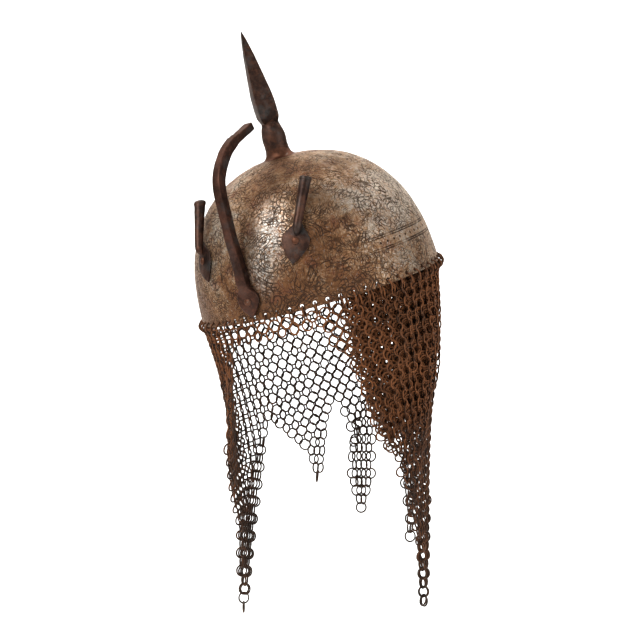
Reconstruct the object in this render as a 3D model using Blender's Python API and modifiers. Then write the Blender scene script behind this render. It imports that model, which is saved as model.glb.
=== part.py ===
"""Domed iron battle helmet with a spike, a curved front bar, two plume holders and a curtain of ring mail.

Metres, +Z up. The origin is the middle of the bowl's rim, where the helmet sits on a head. The front faces -Y
and the wearer's left is +X. The bowl and its fittings lean forward about the origin, and the mail hangs straight
down from the leaning rim.
"""
import math

import bmesh
import bpy
from mathutils import Matrix, Vector

MM = 0.001

# Whole helmet
FIT_GAP = 0.3 * MM
CUT_PAST = 4 * MM
LEAN_FORWARD = math.radians(14.5)
LEAN_RIGHT = math.radians(9.6)

# Bowl
RIM_RADIUS = 100 * MM
DOME_HEIGHT = 115 * MM
DOME_FULLNESS = 2.3
BOWL_WALL = 1.6 * MM
RIM_HOLES = 60
RIM_HOLE_RADIUS = 1.6 * MM
RIM_HOLE_HEIGHT = 3.3 * MM
BOWL_STEPS = 60
BOWL_BANDS = 13
BOWL_FACET = math.cos(math.pi / BOWL_STEPS)

# Spike
SPIKE_OFF_MIDDLE = (-2.1 * MM, -1.4 * MM)
SPIKE_FOOT_RADIUS = 13 * MM
SPIKE_FOOT_EDGE = 1.0 * MM
COLLAR_RADIUS = 9.7 * MM
COLLAR_HEIGHT = 30 * MM
BLADE_HALF_WIDTH = 8.0 * MM
BLADE_LENGTH = 76 * MM
BLADE_LEAN = (math.radians(-0.8), math.radians(1.4))
TANG_RADIUS = 4 * MM
TANG_HEAD_RADIUS = 7 * MM
TANG_HEAD_THICKNESS = 2 * MM

# Front bar
BAR_HEIGHT = 147 * MM
BAR_WIDTH = 7 * MM
BAR_DEPTH = 7.2 * MM
BAR_LEAF_WIDTH = 20 * MM
BAR_LEAF_THICKNESS = 3 * MM
BAR_STEPS = 44

# Plume holders
HOLDER_BEARING = math.radians(29.0)
HOLDER_HEIGHT = 53 * MM
HOLDER_SPLAY = math.radians(22.0)
LEAF_WIDTH = 22 * MM
LEAF_BELOW = 18.2 * MM
LEAF_ABOVE = 16 * MM
LEAF_THICKNESS = 2 * MM
TUBE_LENGTH = 41 * MM
TUBE_LEAN = math.radians(10.0)
TUBE_BEND = 0.34
TUBE_FOOT_RADIUS = 3.3 * MM
TUBE_HEEL_RADIUS = 2 * MM
TUBE_WAIST_RADIUS = 3.7 * MM
TUBE_MOUTH_RADIUS = 4.65 * MM
TUBE_WALL = 0.5 * MM
TUBE_LIP = 0.35 * MM
TUBE_LIP_LENGTH = 2.6 * MM
SOCKET_DEPTH = 30 * MM
SOCKET_TAPER = 1.2 * MM

# Rivets
RIVET_RADIUS = 1.5 * MM
RIVET_HEAD_RADIUS = 3.1 * MM
RIVET_HEAD_HEIGHT = 1.6 * MM
RIVET_BACK_RADIUS = 2.6 * MM
RIVET_BACK_THICKNESS = 1.0 * MM

# Mail curtain. SIDE_DROP is the hem between two tongues and FACE_DROP the hem over the face, as shares of
# MAIL_DROP. The face opening runs from FACE_RIGHT to FACE_LEFT, bearings from the front.
MAIL_WALL = 2.6 * MM
MAIL_SECTIONS = 60
MAIL_LEVELS = 10
MAIL_DROP = 268 * MM
SIDE_DROP = 0.40
FACE_DROP = 0.06
TONGUE_POINT = 1.3
FACE_LEFT = math.radians(42.0)
FACE_RIGHT = math.radians(-14.0)

# Up the front bar: distance from the axis as a share of RIM_RADIUS (bar) or of the place where it lies on the
# bowl (leaf), height as a share of BAR_HEIGHT, width as a share of BAR_WIDTH or BAR_LEAF_WIDTH, and thickness
# as a share of BAR_DEPTH or BAR_LEAF_THICKNESS.
BAR_SECTIONS = [
    # part, out, up, width, depth
    ("leaf", 1.000, 0.027, 0.10, 0.80),
    ("leaf", 1.001, 0.062, 0.58, 0.95),
    ("leaf", 1.002, 0.112, 1.00, 1.00),
    ("leaf", 1.003, 0.155, 0.88, 1.15),
    ("bar", 1.018, 0.190, 1.40, 0.76),
    ("bar", 1.018, 0.225, 1.30, 0.98),
    ("bar", 1.011, 0.275, 1.22, 1.10),
    ("bar", 1.004, 0.345, 1.14, 1.12),
    ("bar", 1.010, 0.450, 1.06, 1.14),
    ("bar", 1.003, 0.520, 1.00, 1.18),
    ("bar", 0.992, 0.610, 1.00, 1.24),
    ("bar", 0.982, 0.693, 1.00, 1.28),
    ("bar", 0.957, 0.761, 1.00, 1.30),
    ("bar", 0.912, 0.812, 1.00, 1.30),
    ("bar", 0.837, 0.862, 1.02, 1.26),
    ("bar", 0.744, 0.909, 1.06, 1.18),
    ("bar", 0.617, 0.948, 1.12, 1.08),
    ("bar", 0.520, 0.968, 1.16, 1.04),
    ("bar", 0.435, 0.981, 1.18, 1.00),
    ("bar", 0.325, 1.000, 1.18, 0.98),
]

# Up the collar and neck: radius as a share of COLLAR_RADIUS, height as a share of COLLAR_HEIGHT.
COLLAR_PROFILE = [
    # radius, height
    (1.18, 0.06),
    (1.05, 0.12),
    (0.98, 0.22),
    (0.98, 0.36),
    (1.01, 0.50),
    (0.98, 0.65),
    (0.89, 0.79),
    (0.77, 0.90),
    (0.74, 0.97),
    (0.78, 1.04),
]

# Up the blade: half width as a share of BLADE_HALF_WIDTH, height as a share of BLADE_LENGTH.
BLADE_PROFILE = [
    # half width, height
    (0.60, -0.050),
    (0.78, -0.010),
    (0.94, 0.025),
    (1.00, 0.070),
    (1.00, 0.220),
    (0.93, 0.330),
    (0.80, 0.450),
    (0.67, 0.570),
    (0.54, 0.690),
    (0.38, 0.810),
    (0.22, 0.910),
]

# Round the leaf of a plume holder, from its tip up: height as a share of LEAF_BELOW (under the rivet) or
# LEAF_ABOVE (over it), half width as a share of half LEAF_WIDTH.
LEAF_OUTLINE = [
    # height, half width
    (-1.00, 0.04),
    (-0.86, 0.26),
    (-0.64, 0.56),
    (-0.36, 0.84),
    (-0.08, 0.99),
    (0.20, 0.98),
    (0.46, 0.76),
    (0.70, 0.46),
    (1.00, 0.22),
]

# Tongues of the mail, from the wearer's left round the back to the right. The first three columns are bearings
# on the rim, in degrees from the front: where the tongue starts, its middle and where it ends. Then come the drop
# at the tip as a share of MAIL_DROP, the bearing of the hanging tip and its half spread in degrees, the distance
# of the tip from the axis as a share of RIM_RADIUS, and how late the tongue gathers inwards and sideways.
MAIL_TONGUES = [
    # start, middle, end, tip_drop, tip_bearing, tip_spread, tip_out, gather_in, gather_round
    (39.5, 87.5, 121.5, 1.000, 110, 10, 0.82, 0.9, 1.0),
    (121.5, 133.5, 150.5, 0.650, 132, 8, 0.88, 0.9, 1.1),
    (150.5, 169.5, 187.5, 0.800, 159, 7, 0.87, 0.8, 1.1),
    (187.5, 203.5, 217.5, 0.820, 190, 8, 0.87, 0.8, 1.1),
    (227.5, 247.5, 274.5, 0.575, 219, 9, 0.87, 0.8, 1.1),
    (274.5, 299.5, 343.5, 0.890, 257, 11, 0.74, 0.45, 1.7),
]


def clear_scene():
    """Removes every object of the start scene."""
    for obj in list(bpy.data.objects):
        bpy.data.objects.remove(obj, do_unlink=True)


def collection(name):
    """Makes a collection under the scene's own."""
    made = bpy.data.collections.new(name)
    bpy.context.scene.collection.children.link(made)
    return made


def material(name, colour, roughness, metallic):
    """Makes a Principled material of one colour."""
    made = bpy.data.materials.new(name)
    made.use_nodes = True
    shader = made.node_tree.nodes["Principled BSDF"]
    shader.inputs["Base Color"].default_value = (*colour, 1.0)
    shader.inputs["Roughness"].default_value = roughness
    shader.inputs["Metallic"].default_value = metallic
    return made


def add_object(name, mesh, group, finish=None, parent=None):
    """Links a mesh object into a collection, with its material and its parent."""
    obj = bpy.data.objects.new(name, mesh)
    group.objects.link(obj)
    obj.parent = parent
    if finish is not None:
        mesh.materials.append(finish)
    return obj


def mesh_from(bm, name):
    """Turns a bmesh into a mesh with its faces pointing out."""
    bmesh.ops.recalc_face_normals(bm, faces=bm.faces)
    mesh = bpy.data.meshes.new(name)
    bm.to_mesh(mesh)
    bm.free()
    return mesh


def round_off(obj, degrees=40.0):
    """Shades a piece smooth, with its true edges kept sharp."""
    obj.data.shade_smooth()
    obj.data.set_sharp_from_angle(angle=math.radians(degrees))


def profile_object(name, points, steps, group, finish=None, parent=None):
    """Turns a profile of (radius, height) points, listed from the top down, about Z."""
    bm = bmesh.new()
    made = [bm.verts.new((radius, 0.0, height)) for radius, height in points]
    for first, second in zip(made, made[1:]):
        bm.edges.new((first, second))
    mesh = bpy.data.meshes.new(name)
    bm.to_mesh(mesh)
    bm.free()
    obj = add_object(name, mesh, group, finish, parent)
    screw = obj.modifiers.new("turn", "SCREW")
    screw.steps = steps
    screw.render_steps = steps
    screw.use_merge_vertices = True
    screw.merge_threshold = 0.00002
    screw.use_smooth_shade = True
    return obj


def boolean(obj, other, operation, name):
    """Joins or cuts a piece with another."""
    made = obj.modifiers.new(name, "BOOLEAN")
    made.operation = operation
    made.object = other
    made.solver = "EXACT"


def helper(obj):
    """Keeps a cutter out of the render and draws it as wire."""
    obj.hide_render = True
    obj.display_type = "WIRE"
    return obj


def cylinder(bm, radius, start, end, sides, top_radius=None):
    """Adds a closed cylinder or cone between two points."""
    run = end - start
    turn = run.to_track_quat("Z", "Y").to_matrix().to_4x4()
    place = Matrix.Translation((start + end) / 2) @ turn
    far = radius if top_radius is None else top_radius
    bmesh.ops.create_cone(bm, cap_ends=True, segments=sides, radius1=radius, radius2=far,
                          depth=run.length, matrix=place)


def smooth_rows(rows, steps):
    """Reads rows of numbers at even steps along a Catmull-Rom curve through them."""
    made = []
    for step in range(steps + 1):
        along = step / steps * (len(rows) - 1)
        first = min(int(along), len(rows) - 2)
        part = along - first
        near = [rows[min(max(first + k, 0), len(rows) - 1)] for k in (-1, 0, 1, 2)]
        made.append([catmull(part, *(row[column] for row in near)) for column in range(len(rows[0]))])
    return made


def catmull(t, before, start, end, after):
    """One number at share t of the way from start to end, on a Catmull-Rom curve."""
    return 0.5 * (2 * start + (end - before) * t + (2 * before - 5 * start + 4 * end - after) * t * t
                  + (3 * start - before - 3 * end + after) * t ** 3)


def dome_point(share):
    """Radius and height on the bowl's outside, at a share of the way from the rim to the crown."""
    angle = share * math.pi / 2
    power = 2 / DOME_FULLNESS
    return RIM_RADIUS * math.cos(angle) ** power, DOME_HEIGHT * math.sin(angle) ** power


def dome_radius(height):
    """Radius of the bowl's outside at a height over the rim."""
    return RIM_RADIUS * (1 - (height / DOME_HEIGHT) ** DOME_FULLNESS) ** (1 / DOME_FULLNESS)


def dome_height(radius):
    """Height of the bowl's outside at a distance from its axis."""
    return DOME_HEIGHT * (1 - (radius / RIM_RADIUS) ** DOME_FULLNESS) ** (1 / DOME_FULLNESS)


def dome_frame(bearing, height):
    """Place of the bowl's surface at a bearing from the front, with its x along the rim, y up and z out."""
    radius = dome_radius(height)
    out_share = (radius / RIM_RADIUS) ** (DOME_FULLNESS - 1) / RIM_RADIUS
    up_share = (height / DOME_HEIGHT) ** (DOME_FULLNESS - 1) / DOME_HEIGHT
    outward = Vector((math.sin(bearing), -math.cos(bearing), 0))
    normal = (outward * out_share + Vector((0, 0, up_share))).normalized()
    along = Vector((math.cos(bearing), math.sin(bearing), 0))
    up = normal.cross(along)
    place = Matrix((along, up, normal)).transposed().to_4x4()
    place.translation = outward * radius + Vector((0, 0, height))
    return place


def bowl_depth(place, x, y):
    """Distance along the frame's z from its plane to the bowl's outside, at x and y in the frame."""
    inside, outside = -0.2 * RIM_RADIUS, 0.1 * RIM_RADIUS
    for _ in range(30):
        middle = (inside + outside) / 2
        point = place @ Vector((x, y, middle))
        radius = math.hypot(point.x, point.y)
        full = (radius / RIM_RADIUS) ** DOME_FULLNESS + (point.z / DOME_HEIGHT) ** DOME_FULLNESS
        inside, outside = (middle, outside) if full < 1 else (inside, middle)
    return middle


def holder_frame(side):
    """Frame of a plume holder on the bowl: side 1 is the wearer's left, -1 the right."""
    return dome_frame(side * HOLDER_BEARING, HOLDER_HEIGHT) @ Matrix.Rotation(-side * HOLDER_SPLAY, 4, "Z")


def bar_row(part, out, up, width, depth):
    """One section of the front bar in metres: distance from the axis, height, width and depth."""
    height = up * BAR_HEIGHT
    if part == "bar":
        return out * RIM_RADIUS, height, width * BAR_WIDTH, depth * BAR_DEPTH
    thick = depth * BAR_LEAF_THICKNESS
    return out * (dome_radius(height) + FIT_GAP + thick / 2), height, width * BAR_LEAF_WIDTH, thick


def bar_leaf_middle():
    """Place on the front bar's leaf where its rivet goes: distance from the axis and height."""
    return bar_row(*BAR_SECTIONS[2])[:2]


def bar_rivet_line():
    """Ends of the straight line that the front bar's rivet follows, from inside the bowl out."""
    out, up = bar_leaf_middle()
    inside = out - BAR_LEAF_THICKNESS - BOWL_WALL - CUT_PAST
    return Vector((0, -inside, up)), Vector((0, -out - CUT_PAST, up))


def bowl_hole_cutter(group, parent):
    """Makes the cutter of every hole in the bowl: round the rim, at the rivets and at the crown."""
    bm = bmesh.new()
    for index in range(RIM_HOLES):
        bearing = 2 * math.pi * index / RIM_HOLES
        outward = Vector((math.sin(bearing), -math.cos(bearing), 0))
        middle = outward * RIM_RADIUS + Vector((0, 0, RIM_HOLE_HEIGHT))
        cylinder(bm, RIM_HOLE_RADIUS, middle - outward * CUT_PAST, middle + outward * CUT_PAST, 8)
    hole = RIVET_RADIUS + FIT_GAP
    for side in (1, -1):
        place = holder_frame(side)
        cylinder(bm, hole, place @ Vector((0, 0, -CUT_PAST)), place @ Vector((0, 0, CUT_PAST)), 10)
    start, end = bar_rivet_line()
    cylinder(bm, hole, start, end, 10)
    crown = TANG_RADIUS + FIT_GAP
    tang = Vector((*SPIKE_OFF_MIDDLE, DOME_HEIGHT))
    cylinder(bm, crown, tang - Vector((0, 0, CUT_PAST)), tang + Vector((0, 0, CUT_PAST)), 16)
    return helper(add_object("bowl_holes", mesh_from(bm, "bowl_holes"), group, parent=parent))


def build_bowl(group, cutters, parent, finish):
    """Turns the bowl, gives it its wall and cuts its holes."""
    points = [dome_point(1 - index / BOWL_BANDS) for index in range(BOWL_BANDS + 1)]
    points[0] = (0.0, DOME_HEIGHT)
    bowl = profile_object("bowl", points, BOWL_STEPS, group, finish, parent)
    bowl.rotation_euler.z = math.pi / BOWL_STEPS
    wall = bowl.modifiers.new("wall", "SOLIDIFY")
    wall.thickness = BOWL_WALL
    wall.offset = -1.0
    wall.use_even_offset = True
    boolean(bowl, bowl_hole_cutter(cutters, parent), "DIFFERENCE", "holes")
    return bowl


def build_spike(group, cutters, parent, finish):
    """Turns the collar with its foot and hidden tang, and joins the four-sided blade to it."""
    base = DOME_HEIGHT + FIT_GAP
    inside = DOME_HEIGHT - BOWL_WALL - FIT_GAP
    foot = dome_height(SPIKE_FOOT_RADIUS - math.hypot(*SPIKE_OFF_MIDDLE)) + FIT_GAP
    collar = [(radius * COLLAR_RADIUS, base + height * COLLAR_HEIGHT) for radius, height in COLLAR_PROFILE]
    points = [(0.0, collar[-1][1])] + collar[::-1] + [
        (SPIKE_FOOT_RADIUS, foot + SPIKE_FOOT_EDGE),
        (SPIKE_FOOT_RADIUS, foot),
        (SPIKE_FOOT_RADIUS / 2, dome_height(SPIKE_FOOT_RADIUS / 2) + FIT_GAP),
        (TANG_RADIUS, base),
        (TANG_RADIUS, inside),
        (TANG_HEAD_RADIUS, inside - FIT_GAP),
        (TANG_HEAD_RADIUS * 0.8, inside - TANG_HEAD_THICKNESS),
        (0.0, inside - TANG_HEAD_THICKNESS),
    ]
    spike = profile_object("spike", points, 20, group, finish, parent)
    spike.location = (*SPIKE_OFF_MIDDLE, 0)
    diagonal = math.sqrt(2) * BLADE_HALF_WIDTH
    blade = [(half * diagonal, height * BLADE_LENGTH) for half, height in BLADE_PROFILE]
    outline = [(0.0, BLADE_LENGTH)] + blade[::-1] + [(0.0, blade[0][1])]
    square = helper(profile_object("spike_blade", outline, 4, cutters, parent=parent))
    square.location = (*SPIKE_OFF_MIDDLE, base + COLLAR_HEIGHT)
    square.rotation_euler = (-BLADE_LEAN[0], -BLADE_LEAN[1], 0)
    boolean(spike, square, "UNION", "blade")
    return spike


def bar_section(row, ahead):
    """Corners of one section of the front bar, square to its run, with small chamfers and bowed with the bowl."""
    out, up, width, depth = row
    across = ahead.cross(Vector((1, 0, 0))).normalized()
    chamfer = 0.12 * min(width, depth)
    half, deep = width / 2, depth / 2
    side = [(half - chamfer, deep), (half, deep - chamfer), (half, -deep + chamfer), (half - chamfer, -deep)]
    corners = [(0, deep)] + side + [(0, -deep)] + [(-x, y) for x, y in side[::-1]]
    middle = Vector((0, -out, up))
    bow = Vector((0, 1 / (2 * RIM_RADIUS), 0))
    return [middle + Vector((x, 0, 0)) + across * y + bow * x * x for x, y in corners]


def loft(sections, name):
    """Joins closed sections of equal length into one capped solid."""
    bm = bmesh.new()
    rings = [[bm.verts.new(point) for point in section] for section in sections]
    count = len(rings[0])
    for low, high in zip(rings, rings[1:]):
        for index in range(count):
            after = (index + 1) % count
            bm.faces.new((low[index], low[after], high[after], high[index]))
    bm.faces.new(rings[0][::-1])
    bm.faces.new(rings[-1])
    return mesh_from(bm, name)


def build_front_bar(group, cutters, parent, finish):
    """Lofts the curved front bar from its leaf-shaped foot to its blunt tip and drills it for its rivet."""
    rows = smooth_rows([bar_row(*section) for section in BAR_SECTIONS], BAR_STEPS)
    sections = []
    for index, row in enumerate(rows):
        before, after = rows[max(index - 1, 0)], rows[min(index + 1, len(rows) - 1)]
        ahead = Vector((0, -(after[0] - before[0]), after[1] - before[1])).normalized()
        sections.append(bar_section(row, ahead))
    bar = add_object("front_bar", loft(sections, "front_bar"), group, finish, parent)
    bm = bmesh.new()
    start, end = bar_rivet_line()
    cylinder(bm, RIVET_RADIUS + FIT_GAP, start, end, 10)
    hole = helper(add_object("front_bar_hole", mesh_from(bm, "front_bar_hole"), cutters, parent=parent))
    boolean(bar, hole, "DIFFERENCE", "rivet hole")
    return bar


def leaf_mesh(name, place):
    """Forges the flat pointed leaf of a plume holder, dished to follow the bowl, in the holder's frame."""
    reach = [LEAF_BELOW if height < 0 else LEAF_ABOVE for height, _ in LEAF_OUTLINE]
    rows = [(height * size, half * LEAF_WIDTH / 2) for (height, half), size in zip(LEAF_OUTLINE, reach)]
    across = (-1.0, -0.5, 0.0, 0.5, 1.0)
    bm = bmesh.new()
    grid = []
    for up, half in smooth_rows(rows, 12):
        line = [(share * half, up) for share in across]
        grid.append([bm.verts.new((x, y, bowl_depth(place, x, y) + FIT_GAP)) for x, y in line])
    for low, high in zip(grid, grid[1:]):
        for index in range(len(across) - 1):
            bm.faces.new((low[index], low[index + 1], high[index + 1], high[index]))
    mesh = bpy.data.meshes.new(name)
    bm.to_mesh(mesh)
    bm.free()
    return mesh


def tube_axis(share):
    """Point on the axis of a plume tube, in the holder's frame, at a share of its length."""
    lift = LEAF_THICKNESS * 0.5 + TUBE_FOOT_RADIUS
    rise = lift * (0.9 + 0.1 * min(share * 3, 1.0)) - share * TUBE_LENGTH * math.sin(TUBE_LEAN)
    return Vector((0, LEAF_ABOVE * 0.72 + share * TUBE_LENGTH, rise))


def tube_sections():
    """Centres and radii up the outside of a plume tube, from the heel on its leaf to its lip."""
    foot, bend, mouth = tube_axis(0.0), tube_axis(TUBE_BEND), tube_axis(1.0)
    run = (mouth - bend).normalized()
    heel = Vector((0, foot.y - 1.5 * TUBE_FOOT_RADIUS, TUBE_HEEL_RADIUS + LEAF_THICKNESS * 0.35))
    lip = mouth - run * TUBE_LIP_LENGTH
    lip_radius = TUBE_MOUTH_RADIUS + TUBE_LIP
    return [
        (heel, TUBE_HEEL_RADIUS),
        (foot, TUBE_FOOT_RADIUS * 0.9),
        (bend, TUBE_WAIST_RADIUS),
        (lip, TUBE_MOUTH_RADIUS),
        (lip + run * TUBE_LIP, lip_radius),
        (mouth, lip_radius),
    ]


def tube_ring(centre, radius, sides=16):
    """Points round one section of a plume tube."""
    turns = [2 * math.pi * side / sides for side in range(sides)]
    return [centre + Vector((math.cos(turn), 0, math.sin(turn))) * radius for turn in turns]


def tube_solids(name, cutters, parent, place):
    """Makes the plume tube with its lip, and the cutter of its socket and its rivet hole."""
    rings = [tube_ring(centre, radius) for centre, radius in tube_sections()]
    tube = helper(add_object(name + "_tube", loft(rings, name + "_tube"), cutters, parent=parent))
    tube.matrix_local = place
    mouth = tube_axis(1.0)
    run = (mouth - tube_axis(TUBE_BEND)).normalized()
    bore = TUBE_MOUTH_RADIUS - TUBE_WALL
    bm = bmesh.new()
    cylinder(bm, bore - SOCKET_TAPER, mouth - run * SOCKET_DEPTH, mouth + run * CUT_PAST, 14, bore)
    cylinder(bm, RIVET_RADIUS + FIT_GAP, Vector((0, 0, -CUT_PAST)), Vector((0, 0, CUT_PAST)), 10)
    socket = helper(add_object(name + "_socket", mesh_from(bm, name + "_socket"), cutters, parent=parent))
    socket.matrix_local = place
    return tube, socket


def build_plume_holder(name, side, group, cutters, parent, finish):
    """Makes one plume holder: a leaf riveted to the bowl, with a hollow tube that stands up from it."""
    place = holder_frame(side)
    holder = add_object(name, leaf_mesh(name, place), group, finish, parent)
    holder.matrix_local = place
    wall = holder.modifiers.new("thickness", "SOLIDIFY")
    wall.thickness = LEAF_THICKNESS
    wall.offset = 1.0
    tube, socket = tube_solids(name, cutters, parent, place)
    boolean(holder, tube, "UNION", "tube")
    boolean(holder, socket, "DIFFERENCE", "socket")
    return holder


def rivet_profile(grip):
    """Profile of a rivet: a domed head over the plate, a plain shank through it and a flat head behind the bowl."""
    top = grip + FIT_GAP
    back = -FIT_GAP - RIVET_BACK_THICKNESS
    dome = [(RIVET_HEAD_RADIUS * math.sin(angle), top + RIVET_HEAD_HEIGHT * math.cos(angle))
            for angle in (math.radians(degrees) for degrees in (0, 35, 65, 90))]
    return dome + [(RIVET_RADIUS, top), (RIVET_RADIUS, -FIT_GAP), (RIVET_BACK_RADIUS, -FIT_GAP),
                   (RIVET_BACK_RADIUS, back), (0.0, back)]


def build_rivet(name, place, grip, group, parent, finish):
    """Sets a rivet in its hole: grip is the thickness that it holds together, from the bowl's inside out."""
    rivet = profile_object(name, rivet_profile(grip), 12, group, finish, parent)
    rivet.matrix_local = place
    return rivet


def build_rivets(group, parent, finish):
    """Sets the rivets of the front bar and of the two plume holders."""
    for name, side in (("plume_holder_rivet_left", 1), ("plume_holder_rivet_right", -1)):
        place = holder_frame(side) @ Matrix.Translation((0, 0, -BOWL_WALL - FIT_GAP))
        build_rivet(name, place, BOWL_WALL + 2 * FIT_GAP + LEAF_THICKNESS, group, parent, finish)
    out, up = bar_leaf_middle()
    inside = dome_radius(up + RIVET_HEAD_RADIUS) * BOWL_FACET - BOWL_WALL
    turn = Vector((0, -1, 0)).to_track_quat("Z", "Y").to_matrix().to_4x4()
    place = Matrix.Translation((0, -inside, up)) @ turn
    build_rivet("front_bar_rivet", place, out + BAR_LEAF_THICKNESS / 2 - inside, group, parent, finish)


def rim_point(bearing, lean):
    """Point in the middle of the bowl's wall just under its edge, at a bearing from the front."""
    radius = RIM_RADIUS - BOWL_WALL / 2
    under = FIT_GAP + MAIL_WALL * math.sin(LEAN_FORWARD) / 2
    return lean @ Vector((radius * math.sin(bearing), -radius * math.cos(bearing), -under))


def mail_tongue(degrees):
    """The tongue of mail nearest a bearing, and how far the bearing lies from its middle, -1 to 1 at its ends."""
    def off(row):
        start, middle, end = row[:3]
        return (degrees - middle) / (end - middle if degrees > middle else middle - start)
    nearest = min(MAIL_TONGUES, key=lambda row: abs(off(row)))
    return nearest[3:], max(-1.0, min(1.0, off(nearest)))


def mail_section(bearing, lean):
    """Points down one section of the mail, from the rim to its hem."""
    top = rim_point(bearing, lean)
    shape, off = mail_tongue(math.degrees(bearing))
    tip_drop, tip_bearing, tip_spread, tip_out, gather_in, gather_round = shape
    opening = bearing > 2 * math.pi + FACE_RIGHT or bearing < FACE_LEFT
    drop = FACE_DROP if opening else tip_drop + (SIDE_DROP - tip_drop) * abs(off) ** TONGUE_POINT
    start_turn = math.atan2(top.x, -top.y) % (2 * math.pi)
    end_turn = start_turn if opening else math.radians(tip_bearing + off * tip_spread)
    start_out, end_out = math.hypot(top.x, top.y), tip_out * RIM_RADIUS
    points = []
    for level in range(MAIL_LEVELS + 1):
        reach = level / MAIL_LEVELS * drop / tip_drop
        turn = start_turn + (end_turn - start_turn) * reach ** gather_round
        out = start_out + (end_out - start_out) * reach ** gather_in
        points.append(Vector((out * math.sin(turn), -out * math.cos(turn),
                              top.z - reach * tip_drop * MAIL_DROP)))
    return points


def build_mail(group, finish, lean):
    """Hangs the curtain of mail as one wall round the whole rim, short over the face, with pointed tongues."""
    bm = bmesh.new()
    bearings = [2 * math.pi * (index + 0.5) / MAIL_SECTIONS for index in range(MAIL_SECTIONS)]
    columns = [[bm.verts.new(point) for point in mail_section(bearing, lean)] for bearing in bearings]
    for left, right in zip(columns, columns[1:] + columns[:1]):
        for level in range(MAIL_LEVELS):
            bm.faces.new((left[level], right[level], right[level + 1], left[level + 1]))
    mail = add_object("mail_curtain", mesh_from(bm, "mail_curtain"), group, finish)
    wall = mail.modifiers.new("wall", "SOLIDIFY")
    wall.thickness = MAIL_WALL
    wall.offset = 0.0
    round_off(mail)
    return mail


def main():
    """Builds the whole helmet."""
    clear_scene()
    group = collection("engraved_battle_helmet")
    cutters = collection("cutters")
    cutters.hide_render = True
    lean = Matrix.Rotation(LEAN_FORWARD, 4, "X") @ Matrix.Rotation(-LEAN_RIGHT, 4, "Y")
    tilt = bpy.data.objects.new("helmet_tilt", None)
    group.objects.link(tilt)
    tilt.matrix_world = lean
    bowl_iron = material("bowl_iron", (0.30, 0.24, 0.19), 0.42, 0.9)
    dark_iron = material("dark_iron", (0.075, 0.055, 0.045), 0.5, 0.85)
    red_iron = material("red_iron", (0.12, 0.065, 0.045), 0.55, 0.8)
    mail_iron = material("mail_iron", (0.10, 0.065, 0.045), 0.5, 0.85)
    build_bowl(group, cutters, tilt, bowl_iron)
    build_spike(group, cutters, tilt, dark_iron)
    build_front_bar(group, cutters, tilt, red_iron)
    build_plume_holder("plume_holder_left", 1, group, cutters, tilt, dark_iron)
    build_plume_holder("plume_holder_right", -1, group, cutters, tilt, dark_iron)
    build_rivets(group, tilt, dark_iron)
    build_mail(group, mail_iron, lean)


main()
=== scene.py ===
"""Looks of an engraved battle helmet: a bowl with a spike, a front bar, two plume tubes and ring mail.

Metres, +Z up, front towards -Y, wearer's left towards +X. The bowl and its fittings share a leaning frame
whose origin is the middle of the rim. The mail hangs from the rim under its own weight.
"""
import logging
import math
import sys
from dataclasses import dataclass, field, fields
from enum import Enum
from functools import reduce
from typing import Callable, Iterable, Sequence

import bpy
import numpy as np
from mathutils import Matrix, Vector

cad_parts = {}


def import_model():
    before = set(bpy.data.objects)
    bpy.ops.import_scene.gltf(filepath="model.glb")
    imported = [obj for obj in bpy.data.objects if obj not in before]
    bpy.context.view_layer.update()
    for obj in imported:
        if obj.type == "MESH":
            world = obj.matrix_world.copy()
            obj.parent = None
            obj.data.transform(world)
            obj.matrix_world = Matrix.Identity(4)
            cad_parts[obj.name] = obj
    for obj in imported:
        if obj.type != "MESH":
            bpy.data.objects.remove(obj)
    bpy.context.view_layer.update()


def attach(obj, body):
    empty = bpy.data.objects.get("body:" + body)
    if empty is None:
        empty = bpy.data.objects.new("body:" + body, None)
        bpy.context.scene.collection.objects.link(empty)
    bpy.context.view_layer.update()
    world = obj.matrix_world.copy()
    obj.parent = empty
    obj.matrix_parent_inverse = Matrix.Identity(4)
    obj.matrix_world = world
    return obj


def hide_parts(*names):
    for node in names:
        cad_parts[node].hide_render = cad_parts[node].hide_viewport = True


LOG = logging.getLogger("helmet")
MM = 0.001
Colour = tuple[float, float, float]
Socket = bpy.types.NodeSocket


class Parity(Enum):
    """Which way the rings of a row of mail turn."""

    EVEN = 1
    ODD = -1


# Meshes


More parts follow.
